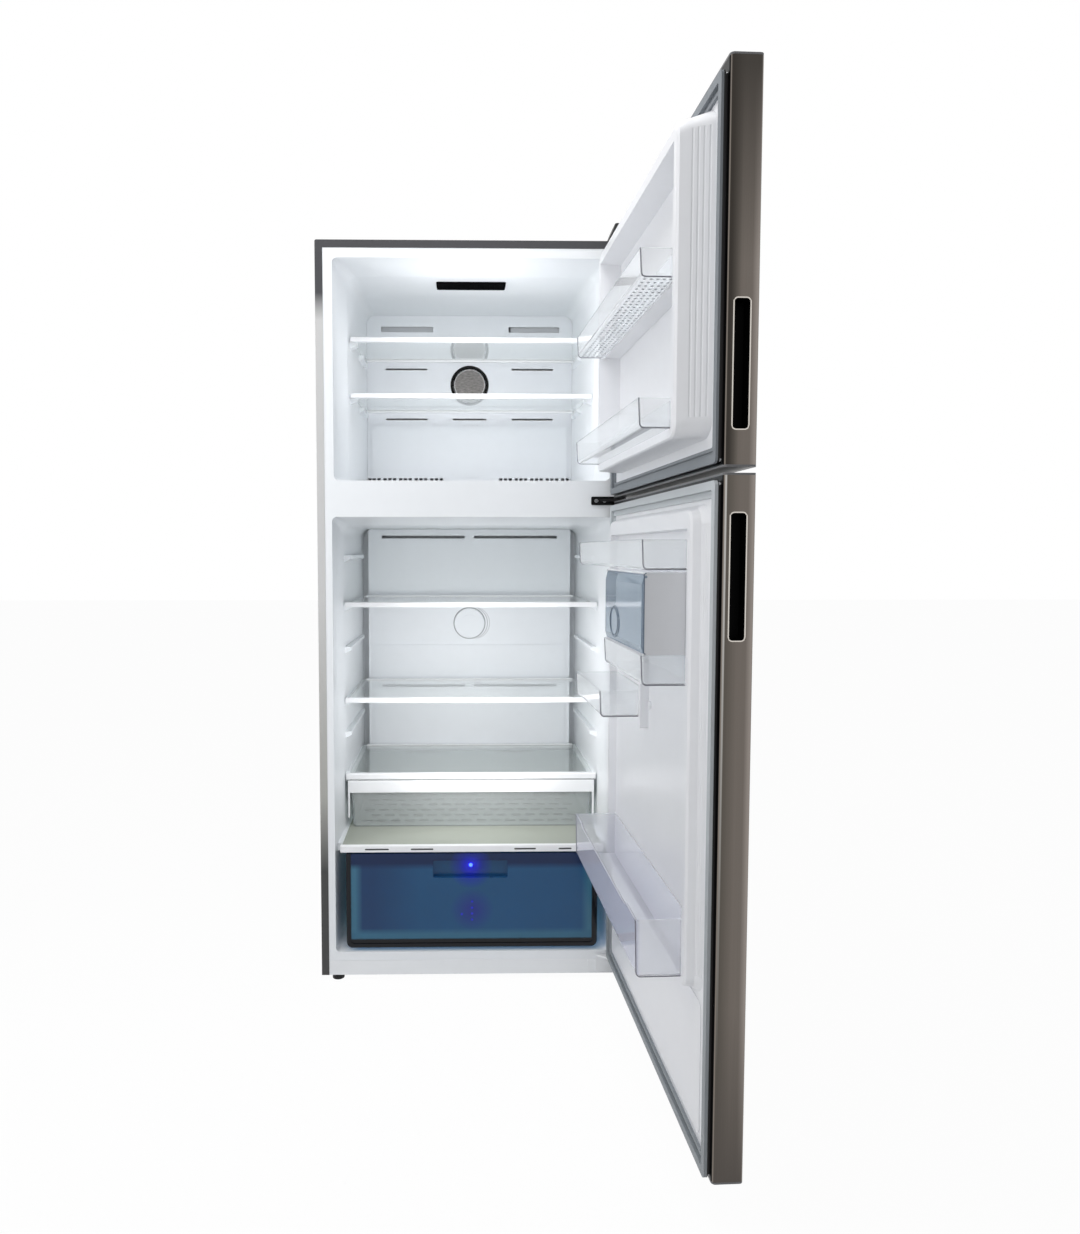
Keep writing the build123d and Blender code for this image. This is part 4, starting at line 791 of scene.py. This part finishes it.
def makeBinRims(look):
    corner, lean = look["corner"], look["lean"]
    for name, row in bins.items():
        body = "freezer_door" if name.startswith("freezer") else "fridge_door"
        left, right = row["across"]
        low, high = row["up"]
        front, back = row["front"], row["back"] + look["backIn"]
        side = [(front, high), (front - lean * look["leanShare"], low + corner)]
        for step in range(1, 5):
            turn = step / 4 * pi / 2
            side.append((front - lean - corner * (1 - cos(turn)), low + corner * (1 - sin(turn))))
        side.append((back, low))
        bm = bmesh.new()
        for x in (left + look["sideIn"], right - look["sideIn"]):
            addTube(bm, [onDoor(x, y, z) for y, z in side], mm(look["radius"]), 6)
        meshPiece(name + "_side_rims", bm, edgeShadeGrey, body)
        dip = row.get("dip", 0)
        top = [(left, high)]
        if dip:
            top += [(left + look["dipStart"], high), (left + look["dipEnd"], high - dip)]
            top += [(right - look["dipEnd"], high - dip), (right - look["dipStart"], high)]
        top.append((right, high))
        bm = bmesh.new()
        addTube(bm, [onDoor(x, front - look["topIn"], z) for x, z in top], mm(look["radius"]), 6)
        meshPiece(name + "_top_rim", bm, edgeHighlightPale, body)


makeBinRims(binRim)
print("bin rims made")


# dots moulded under the freezer's upper bin

binDots = {
    "along": 32,
    "rows": 5,
    "radius": 2.5,
    "rise": 0.5,
    "half": 250,  # half the length that the dots fill
    "near": 40,
    "far": 80,
    "under": 1409.1,  # the underside of the bin's floor
}
dotPale = finish("dotPale", {"colour": tone(160, 163, 168), "rough": (0.3, 0.4)})


def makeBinDots(look):
    bm = bmesh.new()
    for row in range(look["rows"]):
        y = look["near"] + (look["far"] - look["near"]) * row / (look["rows"] - 1)
        for index in range(look["along"]):
            x = -look["half"] + 2 * look["half"] * index / (look["along"] - 1)
            centre = onDoor(x, y, look["under"])
            drop = Vector((0, 0, -mm(look["rise"])))
            addDisc(bm, centre, Vector((1, 0, 0)), Vector((0, 1, 0)), mm(look["radius"]), drop, 8)
    meshPiece("freezer_upper_balcony_dots", bm, dotPale, "freezer_door", smooth=False)


makeBinDots(binDots)
print("bin dots made")


# ring on the utility flap and the dark edge of its box

flapRing = {"x": -80, "y": 82.2, "z": 879, "wide": 34, "tall": 27, "thick": 0.55, "second": 7, "steps": 32}
boxEdge = {"x": -262, "y": 78.3, "low": 846, "high": 966, "thick": 1.1, "hook": (3, 2)}
edgeSlate = finish("edgeSlate", {"colour": tone(98, 112, 128), "rough": (0.2, 0.3)})


def makeFlapRing(look):
    bm = bmesh.new()
    for aside in (0, look["second"]):
        points = []
        for step in range(look["steps"]):
            turn = 2 * pi * step / look["steps"]
            x = look["x"] + aside + (look["wide"] - aside / 2) * cos(turn)
            z = look["z"] + (look["tall"] - aside / 2) * sin(turn)
            points.append(onDoor(x, look["y"], z))
        addTube(bm, points, mm(look["thick"]), 6, closed=True)
    meshPiece("utility_flap_ring", bm, edgeSlate, "utility_flap")


def makeBoxEdge(look):
    bm = bmesh.new()
    y, low, high = look["y"], look["low"], look["high"]
    back, rise = look["hook"]
    spots = ((y - back, high + rise), (y, high), (y, low), (y - back, low - rise))
    addTube(bm, [onDoor(look["x"], near, z) for near, z in spots], mm(look["thick"]), 8)
    meshPiece("utility_box_edge", bm, edgeSlate, "fridge_door")


makeFlapRing(flapRing)
makeBoxEdge(boxEdge)
print("utility box trim made")


# chiller: dashes on the tray's floor and the legs of its front

trayDashes = {
    "rows": 6,
    "along": 15,
    "length": 27,
    "width": 12,
    "point": 4,  # length of each pointed end
    "rise": 1.4,
    "left": -262,
    "step": 36,
    "near": 170,
    "rowStep": 44,
    "floor": 323.1,
}
chillerLeg = {"out": 303, "wide": 4.5, "low": 345, "high": 408, "y": 128.4, "deep": 2.4, "chamfer": 4}
dashGrey = finish("dashGrey", {"colour": tone(104, 107, 106), "rough": (0.3, 0.4)})


def makeTrayDashes(look):
    bm = bmesh.new()
    half, side = look["length"] / 2, look["width"] / 2
    inner = half - look["point"]
    shape = ((-half, 0), (-inner, -side), (inner, -side), (half, 0), (inner, side), (-inner, side))
    for row in range(look["rows"]):
        y = look["near"] + row * look["rowStep"]
        for index in range(look["along"]):
            x = look["left"] + look["step"] * index + (look["step"] / 2 if row % 2 else 0)
            outline = [inCabinet(x + along, y + across, look["floor"]) for along, across in shape]
            addPrism(bm, outline, Vector((0, 0, mm(look["rise"]))))
    meshPiece("chiller_tray_dashes", bm, dashGrey, "chiller_drawer", smooth=False)


def makeChillerLegs(look):
    bm = bmesh.new()
    low, high = look["low"], look["high"]
    corner = low + look["chamfer"]
    for side in (-1, 1):
        outer, inner = side * look["out"], side * (look["out"] - look["wide"])
        foot = ((outer - side, low), (inner + side, low))
        shape = ((outer, high), (outer, corner), *foot, (inner, corner), (inner, high))
        outline = [inCabinet(x, look["y"], z) for x, z in shape]
        addPrism(bm, outline, Vector((0, mm(look["deep"]), 0)))
    meshPiece("chiller_front_legs", bm, finishes["trim_white"], "chiller_drawer", smooth=False)


makeTrayDashes(trayDashes)
makeChillerLegs(chillerLeg)
print("chiller trim made")


# small blue light in the crisper's grip

crisperLight = {"y": 18.2, "radius": 4.4, "flat": 0.6, "glow": 4, "levels": 4, "sides": 12}
beadBlue, beadTree, beadShader = nodeMaterial("beadBlue")
paint(beadTree, beadShader, {"colour": tone(70, 110, 255), "wander": 0.1, "wanderScale": 300})
beadShader.inputs["Emission Color"].default_value = (*tone(60, 90, 255), 1)
beadShader.inputs["Emission Strength"].default_value = crisperLight["glow"]


def makeCrisperLight(look):
    # a low dome in rows of points from its rim to its tip
    bm = bmesh.new()
    sides = look["sides"]
    middle = inCabinet(lightSpot[0], look["y"], lightSpot[1])
    height = mm(look["radius"] * look["flat"])
    turns = [2 * pi * step / sides for step in range(sides)]
    rows = []
    for level in range(look["levels"]):
        tilt = level / look["levels"] * pi / 2
        radius, rise = mm(look["radius"]) * cos(tilt), height * sin(tilt)
        row = [middle + Vector((radius * cos(turn), -rise, radius * sin(turn))) for turn in turns]
        rows.append([bm.verts.new(point) for point in row])
    tip = bm.verts.new(middle + Vector((0, -height, 0)))
    for near, far in zip(rows, rows[1:]):
        for side in range(sides):
            following = (side + 1) % sides
            bm.faces.new((near[side], near[following], far[following], far[side]))
    for side in range(sides):
        bm.faces.new((rows[-1][side], rows[-1][(side + 1) % sides], tip))
    bm.faces.new(list(reversed(rows[0])))
    meshPiece("crisper_light", bm, beadBlue, "crisper_drawer")


makeCrisperLight(crisperLight)
print("crisper light made")


# screws: mid hinge plate, back panel and machine cover

screwLook = {
    "radius": 4.2,
    "rise": 1.4,
    "sides": 16,
    "bar": 0.9,  # width of the cross on the head
    "barShare": 0.55,  # half its length, as a share of the head's radius
    "barRise": 0.15,
    "hingeAcross": (281, 300),
    "hingeSpot": (-2, 1114.5),
    "back": 590,
    "panelAcross": (-334, 334),
    "panelUp": (330, 640, 960, 1280, 1600),
    "coverAcross": (-312, -105, 105, 312),
    "coverUp": 236,
}
headSteps = ((1, 0, 0.6), (0.8, 0.6, 0.4))  # share of the radius, where the step starts and its height
screwSteel = finish("screwSteel", {"colour": tone(150, 150, 152), "metallic": 0.9, "rough": (0.25, 0.4)})


def addScrew(bm, x, y, z, out, look):
    # a low stepped head with a cross on it, out is -1 towards the front and 1 towards the back
    radius = look["radius"]
    middle = inCabinet(x, y, z)
    for share, step, tall in headSteps:
        start = middle + Vector((0, out * mm(look["rise"] * step), 0))
        rise = Vector((0, out * mm(look["rise"] * tall), 0))
        addDisc(bm, start, Vector((1, 0, 0)), Vector((0, 0, 1)), mm(radius * share), rise, look["sides"])
    top = middle + Vector((0, out * mm(look["rise"]), 0))
    for turn in (pi / 4, -pi / 4):
        along = Vector((cos(turn), 0, sin(turn))) * mm(radius * look["barShare"])
        across = Vector((-sin(turn), 0, cos(turn))) * mm(look["bar"] / 2)
        outline = [top + along + across, top - along + across, top - along - across, top + along - across]
        addPrism(bm, outline, Vector((0, out * mm(look["barRise"]), 0)))


def makeScrews(look):
    bm = bmesh.new()
    for x in look["hingeAcross"]:
        addScrew(bm, x, *look["hingeSpot"], -1, look)
    meshPiece("mid_hinge_screws", bm, screwSteel, "cabinet", smooth=False)
    bm = bmesh.new()
    for x in look["panelAcross"]:
        for z in look["panelUp"]:
            addScrew(bm, x, look["back"], z, 1, look)
    for x in look["coverAcross"]:
        addScrew(bm, x, look["back"], look["coverUp"], 1, look)
    meshPiece("back_screws", bm, screwSteel, "cabinet", smooth=False)


makeScrews(screwLook)
print("screws made")
